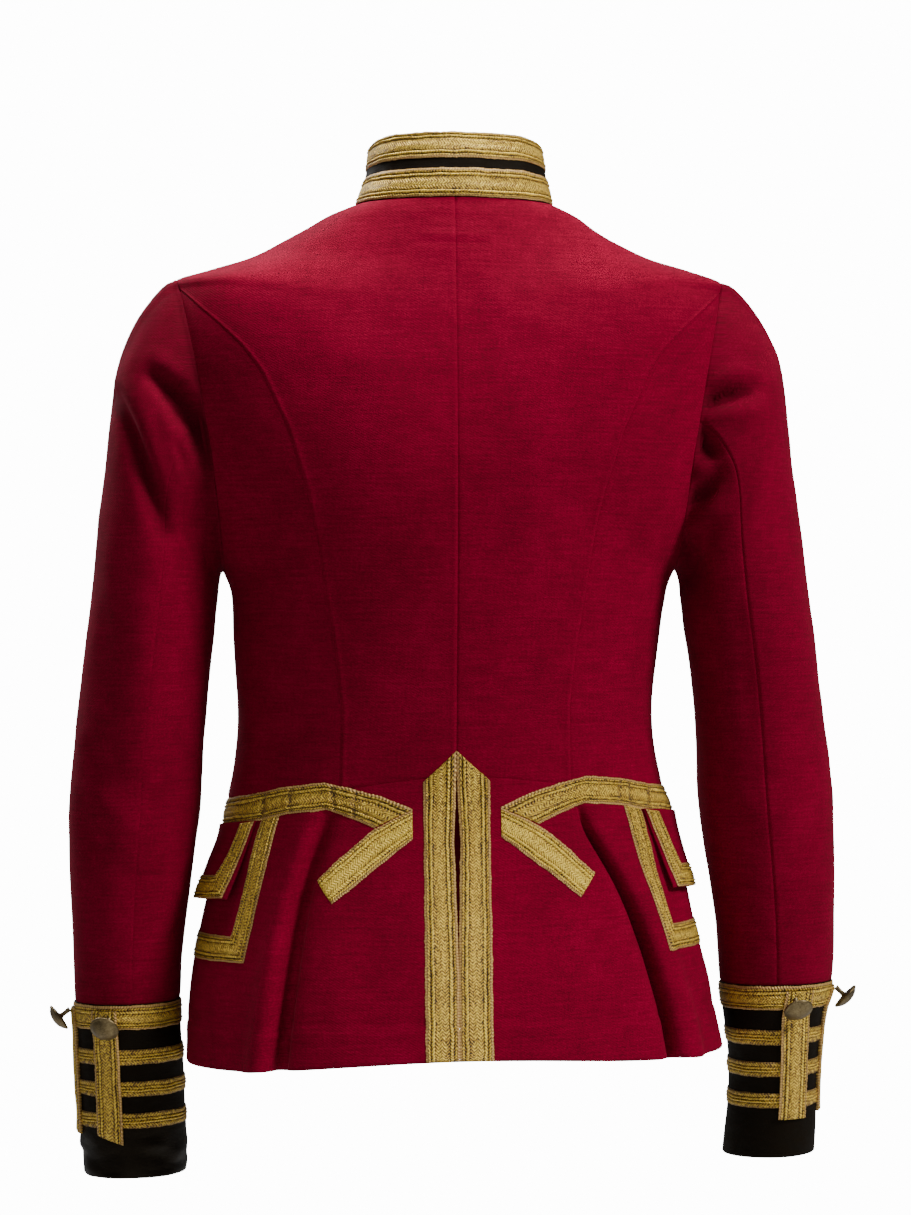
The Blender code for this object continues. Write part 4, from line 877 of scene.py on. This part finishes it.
for side in (1, -1):
    w = word(side)
    addPanel("back_" + w, side, (0, waistRow), quarter, (shoulderRow, princessRow), centreBack, backEdge,
             (0.3 if side > 0 else 0.0, 0.5))
    addPanel("side_back_" + w, side, (princessRow + 0.12, waistRow), 0.6, (underarmRow,), princessAngle, armholeAngle)
    addPanel("front_" + w, side, (0, waistRow), -quarter, (shoulderRow, underarmRow), frontArmhole, frontEdge,
             (0.3, 0.0), front=True)
    addPanel("skirt_back_" + w, side, (waistRow, hemRow), quarter, (), ventEdge, sideLine,
             (0.0, 0.3), hem=True, face=1)
    addPanel("skirt_front_" + w, side, (waistRow, hemRow), -quarter, (), sideLine, frontEdge,
             (0.3, 0.0), hem=True, front=True, face=-1)
print("body panels made", totals)

# sleeves; tuck is how far the head goes under the body's panels, so that no light gets through; the shade values are
# painted shade in the creases and across the sleeve head
sleeveLook = {"spacing": 3.8, "rowSpacing": 3.8, "seam": {"left": 0.25, "right": 1.0}, "allowance": 0.25,
              "headSeam": 0.15, "ridge": {"left": 0.7, "right": 0.3}, "tuck": 0.4,
              "shade": 0.085, "nap": 0.18, "headShade": {"left": 0.5, "right": 0.34}}


def addSleevePanel(name, side, startAt, endAt):
    form, w = sleeves[side], word(side)
    rows, rowPlaces = rowsOf(form["pointAt"], 0, cuffRow, 0.0, sleeveLook["rowSpacing"], (False, True))
    starts, ends = form["angleAt"](rows, startAt), form["angleAt"](rows, endAt)
    angles, places = columnsOf(form["pointAt"], starts, ends, rows, sleeveLook["spacing"])
    v = np.broadcast_to(rows[:, None], angles.shape)
    point, normal = sleeveSkin(side, v, angles)
    plane = form["plane"] * np.array([side, 1, 1])
    point[0] = point[0] - plane * sleeveLook["tuck"]
    level = normal - (normal @ plane)[..., None] * plane
    normal = unit(normal + (level - normal) * bell(rowPlaces, 1.2)[:, None, None])
    deep = sleeveLook["seam"][w]
    turn = seamEdge(places, 0.0, deep) + seamEdge(places[:, -1:] - places, sleeveLook["allowance"] * deep, deep)
    across = seamEdge(rowPlaces, 0.0, sleeveLook["headSeam"]) + seamEdge(rowPlaces[-1] - rowPlaces)
    turn = turn + (across + sleeveLook["ridge"][w] * bell(rowPlaces - 1.5, 1.1))[:, None]
    # the sleeves are a little darker all over, and painted shade darkens them more across the sleeve head and in the
    # deep creases
    facing = point[..., 1] - through(sleeveRows["centreY"], v)
    creased = creaseRelief(sleeveCreases[w], point, facing)
    shade = sleeveLook["nap"] + sleeveLook["headShade"][w] * bell(v, 4.0)
    shade = shade + np.clip(-sleeveLook["shade"] * (creased + 1.5), 0, 0.6)
    addSheet(name, point, normal, turn, cloth, fieldOf(side * places, point[..., 2], shade), "red")


for side in (1, -1):
    w = word(side)
    addSleevePanel("upper_sleeve_" + w, side, frontSeamAt, backSeamAt + armholePoints)
    addSleevePanel("under_sleeve_" + w, side, backSeamAt, frontSeamAt)
print("sleeves made", totals)

# seam tapes, sewn inside over every seam
tapeLook = {"half": 6.0, "behind": 2.15, "thick": 0.5, "onBody": 7, "intoSleeve": 5.0, "sleeveRadius": 52,
            "armholeCentre": (160.0, -8.0, -150.0)}


def addTape(name, lines):
    # lines: points and normals on the outer surface, at one side of the seam, on it and at its other side
    point, normal = (np.stack(part, 1) for part in zip(*lines))
    outer = point - normal * tapeLook["behind"]
    piece = sheetMesh(name, outer, outer - normal * tapeLook["thick"], fieldOf([0, 6, 12], point[..., 2], 1.0), "red",
                      extra=True)


def bodyTape(name, side, rows, edge):
    at = edge(side, rows)
    span = np.linalg.norm(bodyPoint(side, rows, at + 0.12) - bodyPoint(side, rows, at - 0.12), axis=-1) / 0.24
    addTape(name, [bodySkin(side, rows, at + way * tapeLook["half"] / span) for way in (-1, 0, 1)])


for side in (1, -1):
    w, form = word(side), sleeves[side]
    bodyTape("shoulder_tape_" + w, side, np.linspace(0.3, 6.5, 27), sideLine)
    bodyTape("princess_tape_" + w, side, np.linspace(princessRow + 0.6, waistRow - 0.1, 70), princessAngle)
    bodyTape("side_tape_" + w, side, np.linspace(underarmRow + 0.1, hemRow - 0.9, 60), sideLine)
    rows = np.linspace(0.5, cuffRow - 0.3, 90)
    for label, at in (("back", backSeamAt), ("front", frontSeamAt)):
        around = form["angleAt"](rows, at)
        lines = [sleeveSkin(side, rows, around + way * tapeLook["half"] / tapeLook["sleeveRadius"])
                 for way in (-1, 0, 1)]
        addTape(f"{label}_sleeve_tape_{w}", lines)
    # the armhole's tape turns the corner from the body into the sleeve
    loop = np.linspace(shoulderRow + 0.02, underarmRow - 0.02, 70)
    loop = np.concatenate([loop, loop[::-1], loop[:1]])
    face = np.append(np.repeat([1.0, -1.0], 70), 1.0)
    edge = armholeAngle(side, loop) * face
    atEdge = bodySkin(side, loop, edge)[0]
    mirror = np.array([side, 1, 1])
    radial = unit((atEdge - mirror * tapeLook["armholeCentre"]) * np.array([0.3, 1, 1]))
    inSleeve = atEdge + tapeLook["intoSleeve"] * form["plane"] * mirror
    addTape("armhole_tape_" + w, [bodySkin(side, loop, edge + face * tapeLook["onBody"] / halfWidth(side, loop)),
                                  (atEdge - radial * 0.6, radial), (inSleeve - radial * 1.2, radial)])
rows = np.linspace(0.2, waistRow - 0.1, 80)
near = [bodySkin(side, rows, quarter - tapeLook["half"] / halfWidth(side, rows)) for side in (1, -1)]
addTape("centre_back_tape", [near[0], bodySkin(1, rows, np.full(80, quarter)), near[1]])
for side in (1, -1):
    w, edge = word(side), float(frontEdge(side, waistRow))
    around = np.linspace(quarter, edge + (0.31 if side > 0 else 0.12), 150)  # the left one ends before the lap
    addTape("waist_tape_" + w, [bodySkin(side, np.full(150, waistRow + d), around) for d in (-0.3, 0, 0.4)])
    around = np.linspace(quarter, edge + 0.12, 150)
    # each line of this one: a surface, its row and how far in the tape lies there
    lines = [(*skin(side, np.full(150, row), around), wall)
             for skin, row, wall in ((collarSkin, 0.55, 1.4), (bodySkin, 0.03, 0.2), (bodySkin, 0.9, 0.1))]
    addTape("neck_tape_" + w, [(point - normal * wall, normal) for point, normal, wall in lines])
print("seam tapes made", totals)

# cuffs
cuffLook = {"spacing": 2.6, "columns": 110, "top": 0.16, "edge": (-0.7, 0.9), "radius": 40,
            "satinFrom": 18.6, "satinFade": 1.2}  # edge: how far it dips and over how much; satin in rows
cuffDeep = float(sleeveRows["outerZ"][cuffRow] - sleeveRows["outerZ"][cuffEnd])


def cuffRowAt(depthDown):
    z = sleeveRows["outerZ"][cuffRow] - np.asarray(depthDown, float)
    return np.interp(-z, -sleeveRows["outerZ"][cuffRow:], np.arange(cuffRow, cuffEnd + 1))


for side in (1, -1):
    downs = placesAcross(cuffDeep - cuffLook["top"], stepCount(cuffDeep, cuffLook["spacing"])) + cuffLook["top"]
    angles = np.linspace(0, 2 * math.pi, cuffLook["columns"], endpoint=False)
    v = cuffRowAt(downs)[:, None]
    point, normal = sleeveSkin(side, v, angles)
    satin = smoothstep((v - cuffLook["satinFrom"]) / cuffLook["satinFade"]) * (side > 0)
    dip, reach = cuffLook["edge"]
    addSheet("cuff_" + word(side), point, normal, dip * bell(cuffDeep - downs, reach)[:, None], cloth,
             fieldOf(angles * cuffLook["radius"], point[..., 2], satin), "black",
             closed=True)
print("cuffs made", totals)

# collar
collarLook = {"height": 46.0, "wall": 3.0, "frontGap": 1.6, "spacing": 2.6, "edge": (-0.9, 0.9), "columns": 90}
perHeight = 3 / collarLook["height"]


def collarGrid(ks, count):
    # columns from the left front edge round the back to the right front edge
    parts = []
    for side in (1, -1):
        end = -math.acos(collarLook["frontGap"] / float(halfWidth(side, 0)))
        samples = np.linspace(quarter, end, 400)
        lengths = alongLine(collarPoint(side, np.full(400, 0.6), samples))
        run = np.linspace(0, lengths[-1], count)
        point, normal = collarSkin(side, np.asarray(ks, float)[:, None], np.interp(run, lengths, samples))
        run = np.broadcast_to(side * run, point.shape[:2])
        parts.append([a[:, ::-1] if side > 0 else a[:, 1:] for a in (point, normal, run)])
    return [np.concatenate(pair, axis=1) for pair in zip(*parts)]


heights = stepCount(collarLook["height"], collarLook["spacing"])
heights = placesAcross(collarLook["height"] - seamGap, heights) + seamGap
point, normal, run = collarGrid(heights * perHeight, collarLook["columns"])
dip, reach = collarLook["edge"]
addSheet("collar", point, normal, dip * bell(collarLook["height"] - heights, reach)[:, None], collarLook["wall"],
         fieldOf(run, heights[:, None], 0.0), "black")
print("collar made", totals)

# braids
# half a profile across a braid: share of the width, height in mm, tone from 0 (groove) to 1 (bright rib); the tone
# follows the height: the dark grooves are partly the gaps between threads and partly painted shade, the bright ribs
# partly painted light
wideProfile = ((0.0, 0.25, -1.0), (0.05, 0.55, -0.9), (0.09, 0.72, 0.7), (0.13, 0.6, 0.6), (0.15, 0.15, 0.05),
               (0.17, 0.18, 0.05), (0.195, 0.75, 0.8), (0.225, 1.05, 1.0), (0.26, 0.85, 0.85), (0.285, 0.3, 0.1),
               (0.315, 0.5, 0.45), (0.35, 0.68, 0.62), (0.42, 0.76, 0.68), (0.5, 0.78, 0.7))
barProfile = ((0.0, 0.2, -0.5), (0.05, 0.5, 0.3), (0.12, 0.56, 0.6), (0.25, 0.5, 0.6), (0.3, 0.15, 0.1),
              (0.35, 0.7, 0.75), (0.4, 1.0, 1.0), (0.45, 0.7, 0.75), (0.5, 0.15, 0.05))
wide, narrow = (np.array([*profile, *((1 - s, h, c) for s, h, c in profile[-2::-1])])
                for profile in (wideProfile, barProfile))
# the last value is painted shade in the braid's dents
braidLook = {"lift": 0.15, "step": 1.05, "ragged": 0.28, "wander": 0.42, "uneven": 0.12, "scale": 1.25,
             "dentShade": 0.42}


def evenRun(a, b, step):
    # stations along a route whose two edges are a and b, no further apart than step
    counts = np.ceil(np.linalg.norm(np.diff([a, b], axis=1), axis=-1).max(axis=0) / step).astype(int)
    places = np.array([k + i / n for k, n in enumerate(np.maximum(counts, 1)) for i in range(n)] + [len(counts)])
    low = np.minimum(places.astype(int), len(counts) - 1)
    f = (places - low)[:, None]
    run = np.interp(places, range(len(a)), alongLine((a + b) / 2))
    return a[low] + (a[low + 1] - a[low]) * f, b[low] + (b[low + 1] - b[low]) * f, run


def ribbon(name, point, normal, run, width, profile, restsOn, closed=False, lift=0.0, under=0.0, brighter=0.0,
           crimps=()):
    # a braid from base points on what it lies on: stations by places across
    stations, across = point.shape[:2]
    rag = np.random.RandomState(sum(map(ord, name))).uniform(-1, 1, (stations, 2)) * braidLook["ragged"]
    sideways = braidLook["wander"] * softNoise(point + 55, 8)
    for column, edge, second, outward in ((0, 0, 1, -0.1), (1, -1, -2, 0.1)):
        sideways[:, edge] += rag[:, column] + outward
        sideways[:, second] += rag[:, column] * 0.5
    wobble = 1 + braidLook["uneven"] * softNoise(point, 7)
    if not closed:  # the ends are pressed flat
        wobble[[0, -1]] *= 0.3
        wobble[[1, -2]] *= 0.85
    dent = np.zeros((stations, across))
    for at, slant in crimps:  # short dents across the braid, where it is gathered
        off = point[..., 0] - at - slant * (profile[:, 0] - 0.5)
        dent = dent + bell(off, 1.5)
        wobble = wobble - 0.75 * bell(off, 1.3) + 0.6 * bell(off - 3.2, 1.8)
    raised = braidLook["lift"] + lift + profile[:, 1] * braidLook["scale"] * wobble
    top = point + normal * raised[..., None] + unit(point[:, -1] - point[:, 0])[:, None] * sideways[..., None]
    low = point + normal * np.broadcast_to(0.04 + lift - under, dent.shape)[..., None]
    below = [int(round(s * (across - 1))) for s in (1, 0.8, 0.6, 0.4, 0.2)]
    loop = np.concatenate([low[:, :1], top, low[:, below]], axis=1)
    points, away = loop.reshape(-1, 3), (loop - loop.mean(axis=1, keepdims=True)).reshape(-1, 3)
    at = np.arange(len(points)).reshape(stations, -1)
    ring = np.concatenate([at, at[:, :1]], axis=1)
    quads = gridFaces(np.concatenate([ring, ring[:1]]) if closed else ring)
    turnedFaces = outwardFaces(points, quads, away)
    faces = turnedFaces.tolist()
    if not closed:
        way = 1 if turnedFaces is not quads else -1
        faces += [at[0][::way].tolist(), at[-1][::-way].tolist()]
    # painted light: a braid's raised tones can be made lighter, as on the waist braid's tails
    tones = profile[:, 2] + np.where(profile[:, 2] > 0, brighter, 0)
    tone = np.tile(np.concatenate([tones[:1], tones, np.zeros(len(below))]), (stations, 1))
    # painted shade: the raised tones are darkened in the dents
    tone[:, 1:across + 1] -= braidLook["dentShade"] * dent * (tone[:, 1:across + 1] > 0)
    spread = np.concatenate([[0], profile[:, 0], profile[below, 0]]) * width
    piece = makeMesh(name, points, faces, "gold", ("braid", fieldOf(run[:, None], spread, tone)))


def bodyRibbon(name, side, edges, width, restsOn, lift=lambda places: 0.0, **looks):
    # edges: the two sides of the braid at each station, as distance round and height
    a, b, run = evenRun(*np.array(edges, float).transpose(1, 0, 2), braidLook["step"])
    places = a[:, None] + (b - a)[:, None] * wide[None, :, :1]
    point, normal = bodySkin(side, *bodyAt(side, places[..., 0], places[..., 1]), False)
    ribbon(name, point, normal, run, width, wide, restsOn, lift=lift(places), **looks)


def band(route, width):
    # the two edges of a band of even width along a route, mitred at its bends
    route = np.array(route, float)
    ways = unit(np.diff(route, axis=0))
    edges = []
    for place, before, after in zip(route, ways[[0, *range(len(ways))]], ways[[*range(len(ways)), -1]]):
        bisector = unit(before + after)
        square = np.array([-bisector[1], bisector[0]])
        reach = width / 2 / max(float(np.dot(square, [-before[1], before[0]])), 0.3)
        edges.append((place + square * reach, place - square * reach))
    return np.array(edges)


# places on the skirt: distance round from the centre back, or on the pocket back from the side line, and height
waistBraid = {"crimps": {"left": ((130.0, 2.5), (112.0, 1.0), (83.0, -1.5), (69.0, 2.0)),
                         "right": ((-113.5, 2.0), (-121.0, -1.5), (-135.0, 2.0))},
              "width": 19.0, "route": ((90.5, -407), (119, -409.5), (147.5, -415), (200, -421), (272, -423)),
              "fold": (((30.2, -417.2), (56.5, -429.2)), ((52.0, -407.5), (70.0, -423.2))),
              "tail": (((30.2, -417.8), (30.2, -436.9)), ((43.5, -423.7), (38.8, -443.4)),
                       ((56.5, -430.4), (49.0, -451.2)), ((70.0, -440.9), (60.6, -460.2)),
                       ((97.1, -464.3), (85.9, -479.7))),
              "tailBrighter": 0.34, "clear": 0.3}
ventBraid = {"width": 22.3, "edge": 22.5, "ease": 0.06,  # then the heights of the inner and the outer edge
             "rows": ((-378.0, -398.6), (-405, -405), (-440, -440), (-519, -519), (-583.8, -583.8))}
pocket = {"width": 17.0, "top": -434.5, "frame": ((67.5, -424.4), (69.0, -511.0), (-62.0, -511.0), (-57.0, -435.4)),
          "flapBack": {"left": ((58.0, -430.0), (52.0, -479.0)), "right": ((60.0, -429.6), (51.0, -479.0))},
          "flapFront": ((-44.0, -433.0), (-48.0, -484.0)), "flapSize": (105.0, 48.0),
          "flapWall": 1.8, "flapClear": 0.8, "braidWidth": 15.5, "braidLift": 0.05, "border": 0.1,
          "stand": {"left": 6.0, "right": 3.0}, "dip": 0.7, "dipWidth": 0.8, "columns": 30, "rows": 12}


def beside(side, route):
    return np.array([(sideDistance(side, z) - a, z) for a, z in route])


def waistLow(distance):
    # the waist braid's lower edge
    route = np.array(waistBraid["route"])
    return np.interp(distance, route[:, 0], route[:, 1]) - waistBraid["width"] / 2 - waistBraid["clear"]


for side in (1, -1):
    w = word(side)
    skirts = ["skirt_back_" + w, "skirt_front_" + w]
    edges = np.concatenate([waistBraid["fold"], band(waistBraid["route"], waistBraid["width"])])
    bodyRibbon("waist_braid_" + w, side, edges, waistBraid["width"], skirts, crimps=waistBraid["crimps"][w])
    # the tails get painted light: their raised tones are lighter
    bodyRibbon("waist_braid_tail_" + w, side, waistBraid["tail"], waistBraid["width"], skirts[:1],
               brighter=waistBraid["tailBrighter"])
    edges = [((float(down(vent["z"], vent["gap"], inner)) + ventBraid["ease"], inner), (ventBraid["edge"], outer))
             for inner, outer in ventBraid["rows"]]
    bodyRibbon("vent_braid_" + w, side, edges, ventBraid["width"], skirts[:1])
    edges = band(beside(side, pocket["frame"]), pocket["width"])
    edges[0, :, 1] = waistLow(edges[0, :, 0])
    last, rise = edges[-1], edges[-2] - edges[-1]
    edges[-1] = last + rise * ((pocket["top"] - last[:, 1]) / rise[:, 1])[:, None]
    bodyRibbon("pocket_frame_" + w, side, edges, pocket["width"], skirts)
    # the flap springs from under the waist braid and stands off at its lower edge
    back, front = beside(side, pocket["flapBack"][w]), beside(side, pocket["flapFront"])
    flapTop, flapLow = back[0, 1], front[1, 1]
    back[0, 1], front[0, 1] = waistLow(back[0, 0]) - 0.2, waistLow(front[0, 0]) - 0.2
    flapWide, flapHigh = pocket["flapSize"]

    def stand(z):
        return pocket["stand"][w] * smoothstep((flapTop - 2.0 - z) / (flapTop - flapLow))

    across, downs = placesAcross(100.0, pocket["columns"]) / 100, placesAcross(flapHigh, pocket["rows"]) / flapHigh
    top, low = (back[k] + (front[k] - back[k]) * across[:, None] for k in (0, 1))
    places = top + (low - top) * downs[:, None, None]
    point, normal = bodySkin(side, *bodyAt(side, places[..., 0], places[..., 1]))
    base = point + (pocket["flapClear"] + stand(places[..., 1]))[..., None] * normal
    turn = -pocket["dip"] * bell(np.minimum(across, 1 - across) * flapWide, pocket["dipWidth"])
    turn = turn - pocket["dip"] * bell((1 - downs)[:, None] * flapHigh, pocket["dipWidth"])
    addSheet("pocket_flap_" + w, base, normal, pocket["flapWall"] + turn, 0.0,
             fieldOf(places[..., 0], places[..., 1], 0.0), "red")
    inset = pocket["braidWidth"] / 2 + pocket["border"]
    edges = band([back[0] + (inset, -0.6), back[1] + (inset, inset), front[1] + (-inset, inset),
                  front[0] + (-inset, -0.6)], pocket["braidWidth"])
    edges[[0, -1], :, 1] = waistLow(edges[[0, -1], :, 0]) - 0.7
    over = pocket["flapClear"] + pocket["flapWall"] + pocket["braidLift"]
    bodyRibbon("flap_braid_" + w, side, edges, pocket["braidWidth"], ["pocket_flap_" + w],
               lift=lambda places: over + stand(places[..., 1]))
print("braids on the skirt made", totals)

collarStripes = {"lower": (0.6, 20.2), "upper": (27.6, 45.4)}  # heights on the collar
stripeColumns = 200
for label, (low, high) in collarStripes.items():
    point, normal, run = collarGrid((high + (low - high) * wide[:, 0]) * perHeight, stripeColumns)
    ribbon("collar_braid_" + label, point.transpose(1, 0, 2), normal.transpose(1, 0, 2), run[0].max() - run[0],
           high - low, wide, ["collar"])

# how far down the cuff each braid and button is; tabs: degrees round, length and slant of the tip, left and right;
# buttons: how far down, degrees on from their tab, and how much closer to it
cuffTrim = {"braid": (0.5, 17.0), "bars": ((32.0, 42.0), (54.0, 64.0), (76.0, 86.0)), "tabTop": 3.0,
            "tabs": {"back": ((67.0, 73.0), (91.0, 94.0), (6.5, 0.0)),
                     "outer": ((8.0, 8.0), (92.0, 92.0), (0.0, 0.0))},
            "tabWidth": {"left": 18.5, "right": 20.5}, "tabLift": 1.75, "tabUnder": 1.55, "around": 240,
            "button": {"back": (7.5, 7.0, 0.0), "outer": (4.0, 0.0, 1.6)}, "droop": {"left": 36, "right": 44}}


def cuffRibbon(name, side, top, low, profile):
    angles = np.linspace(0, 2 * math.pi, cuffTrim["around"], endpoint=False)
    point, normal = sleeveSkin(side, cuffRowAt(top + (low - top) * profile[:, 0]), angles[:, None])
    ribbon(name, point, normal, alongLine(point[:, 0]), low - top, profile, ["cuff_" + word(side)], closed=True)


for side in (1, -1):
    w, pointAt, width = word(side), sleeves[side]["pointAt"], cuffTrim["tabWidth"][word(side)]
    cuffRibbon("cuff_braid_" + w, side, *cuffTrim["braid"], wide)
    for number, (top, low) in enumerate(cuffTrim["bars"], 1):
        cuffRibbon(f"cuff_bar_{number}_{w}", side, top, low, narrow)
    for label, sizes in cuffTrim["tabs"].items():
        degrees, long, tip = (both[side < 0] for both in sizes)
        middle, downs = math.radians(degrees), np.linspace(cuffTrim["tabTop"], long, 90)
        v = cuffRowAt(downs)
        step = np.linalg.norm(pointAt(v, middle + 0.05) - pointAt(v, middle - 0.05), axis=-1) / 0.1
        angles = middle + (wide[None, :, 0] - 0.5) * width / step[:, None]
        slide = wide[:, 0] * tip * smoothstep((downs - long + 22) / 22)[:, None]
        point, normal = sleeveSkin(side, cuffRowAt(downs[:, None] + slide), angles)
        ribbon(f"cuff_tab_{label}_{w}", point, normal, downs - downs[0], width, wide,
               ["cuff_" + w, "cuff_bar_1_" + w], lift=cuffTrim["tabLift"] + 0.25 * softNoise(point, 15),
               under=cuffTrim["tabUnder"])
print("braids on the collar and cuffs made", totals)

# buttons; profile: radius and height from the middle of the dome to the end of the shank
buttonLook = {"profile": ((0.0, 6.0), (1.6, 5.94), (3.4, 5.65), (5.2, 5.15), (6.9, 4.35), (8.2, 3.45), (8.9, 2.75),
                          (9.25, 2.55), (9.6, 2.5), (9.95, 2.1), (10.2, 1.5), (10.2, 1.0), (9.8, 0.55), (8.2, 0.35),
                          (6.4, 0.0), (3.0, -0.2), (2.2, -0.5), (1.7, -1.2), (1.55, -3.0), (1.7, -6.4), (2.1, -8.0),
                          (0.0, -8.0)), "sides": 56, "shank": 8.0, "standOff": 3.5, "tipOff": 2.2,
              "frontScale": 0.922, "frontOff": 0.45, "frontDown": 1.6,
              "frontShank": ((2.0, -1.0), (2.0, -1.6), (0.0, -1.6)),
              "frontRows": (1.4, 5.2, 9.3, 13.0, 16.6, 20.3, 24.0)}


def addButton(name, centre, axis, profile):
    helper = np.array([0.0, 0.0, 1.0]) if abs(axis[2]) < 0.9 else np.array([1.0, 0.0, 0.0])
    sideways = unit(np.cross(helper, axis))
    upward = np.cross(axis, sideways)
    turns = np.linspace(0, 2 * math.pi, buttonLook["sides"], endpoint=False)[:, None]
    rings = [centre + axis * h + r * (np.cos(turns) * sideways + np.sin(turns) * upward) for r, h in profile[1:-1]]
    points = np.concatenate([[centre + axis * profile[0][1]], *rings, [centre + axis * profile[-1][1]]])
    at = 1 + np.arange(len(points) - 2).reshape(len(rings), -1)
    at = np.concatenate([at, at[:, :1]], axis=1)
    faces = gridFaces(at)[:, [0, 3, 2, 1]].tolist()
    faces += [[0, a, b] for a, b in zip(at[0, :-1].tolist(), at[0, 1:].tolist())]
    faces += [[len(points) - 1, b, a] for a, b in zip(at[-1, :-1].tolist(), at[-1, 1:].tolist())]
    makeMesh(name, points, faces, "brass")


for side in (1, -1):
    w, mirror = word(side), np.array([side, 1, 1])
    for label, (degrees, _, _) in cuffTrim["tabs"].items():
        fromTop, on, closer = cuffTrim["button"][label]
        point, normal = sleeves[side]["frameAt"](cuffRowAt(fromTop), math.radians(degrees[side < 0] + on))
        droop = math.radians(cuffTrim["droop"][w])
        off = buttonLook["standOff"] + buttonLook["tipOff"] * math.sin(droop) - closer
        base = (point + normal * off) * mirror
        level = unit(normal * mirror * np.array([1, 1, 0]))
        axis = unit(level * math.cos(droop) - np.array([0, 0, math.sin(droop)]))
        addButton(f"cuff_button_{label}_{w}", base + axis * buttonLook["shank"], axis, buttonLook["profile"])
frontProfile = [(r * buttonLook["frontScale"], h * buttonLook["frontScale"]) for r, h in buttonLook["profile"][:-6]]
for number, t in enumerate(buttonLook["frontRows"], 1):
    point, normal = bodyFrame(-1, t, -quarter)
    centre = point + normal * (buttonLook["frontOff"] + buttonLook["frontDown"])
    addButton(f"front_button_{number}", centre, unit(normal), [*frontProfile, *buttonLook["frontShank"]])
print("buttons made", totals)

# stage, light and camera; each light: place, size, power, what it aims at and its spread
stage = {"floorZ": -1.42, "floorRadius": 3.9, "floorDark": (0.8, 0.8, 0.79), "floorLight": (0.84, 0.84, 0.83),
         "world": 0.12, "background": 14.0, "target": (-0.0035, 0.0002, -0.281), "distance": 2.6,
         "azimuth": 177.0, "lens": 110.05, "floorRough": 0.9}
lights = {"key": ((-2.35, 1.4, 1.6), 0.95, 104, (0, 0, -0.3), 180),
          "top": ((0.05, -0.2, 2.4), 1.0, 25, (0, 0, -0.3), 180),
          "nape": ((0.1, 0.1, 1.0), 0.3, 1.0, (0.06, 0.05, 0.0), 38),
          "fill": ((1.0, 2.8, 0.1), 1.6, 9, (0, 0, -0.3), 180),
          "frontKey": ((1.6, -2.2, 1.6), 1.2, 60, (0, 0, -0.3), 180)}


def place(name, data, at=(0, 0, 0), aim=None):
    thing = bpy.data.objects.new(name, data)
    thing.location = at
    if aim:
        thing.rotation_euler = (Vector(aim) - Vector(at)).to_track_quat("-Z", "Y").to_euler()
    bpy.context.scene.collection.objects.link(thing)
    return thing


def addFloor():
    turns = np.linspace(0, 2 * math.pi, 96, endpoint=False)
    radius = stage["floorRadius"]
    ring = [(math.cos(a) * radius, math.sin(a) * radius, stage["floorZ"]) for a in turns]
    mesh = bpy.data.meshes.new("floor")
    mesh.from_pydata(ring, [], [list(range(len(ring)))])
    material, tree, shader = newMaterial("paleFloor")
    speck = noise(tree, node(tree, "TexCoord").outputs["Object"], (6, 6, 6), 3.0)
    pale = ramp(tree, speck, (0.3, stage["floorDark"]), (0.7, stage["floorLight"]))
    tree.links.new(pale, shader.inputs["Base Color"])
    shader.inputs["Roughness"].default_value = stage["floorRough"]
    mesh.materials.append(material)
    place("floor", mesh)


def addWorld():
    world = bpy.data.worlds.new("studio")
    world.use_nodes = True
    tree = world.node_tree
    tree.nodes.clear()
    light, seen = (node(tree, "Background", Color=(1, 1, 1, 1), Strength=strength).outputs[0]
                   for strength in (stage["world"], stage["background"]))
    both = node(tree, "MixShader", i0=node(tree, "LightPath").outputs["Is Camera Ray"], i1=light, i2=seen)
    tree.links.new(both.outputs[0], tree.nodes.new("ShaderNodeOutputWorld").inputs[0])
    bpy.context.scene.world = world


addFloor()
addWorld()
for name, (at, size, power, aim, spread) in lights.items():
    lamp = bpy.data.lights.new(name, "AREA")
    lamp.shape = "DISK"
    lamp.size = size
    lamp.energy = power
    lamp.spread = math.radians(spread)
    place(name, lamp, at, aim)
turn = math.radians(stage["azimuth"])
target = Vector(stage["target"])
camera = bpy.data.cameras.new("camera")
camera.lens = stage["lens"]
camera.sensor_width = 36.0
camera.sensor_fit = "AUTO"
at = target + Vector((math.sin(turn), -math.cos(turn), 0)) * stage["distance"]
bpy.context.scene.camera = place("camera", camera, at, target)
print("stage set", totals)
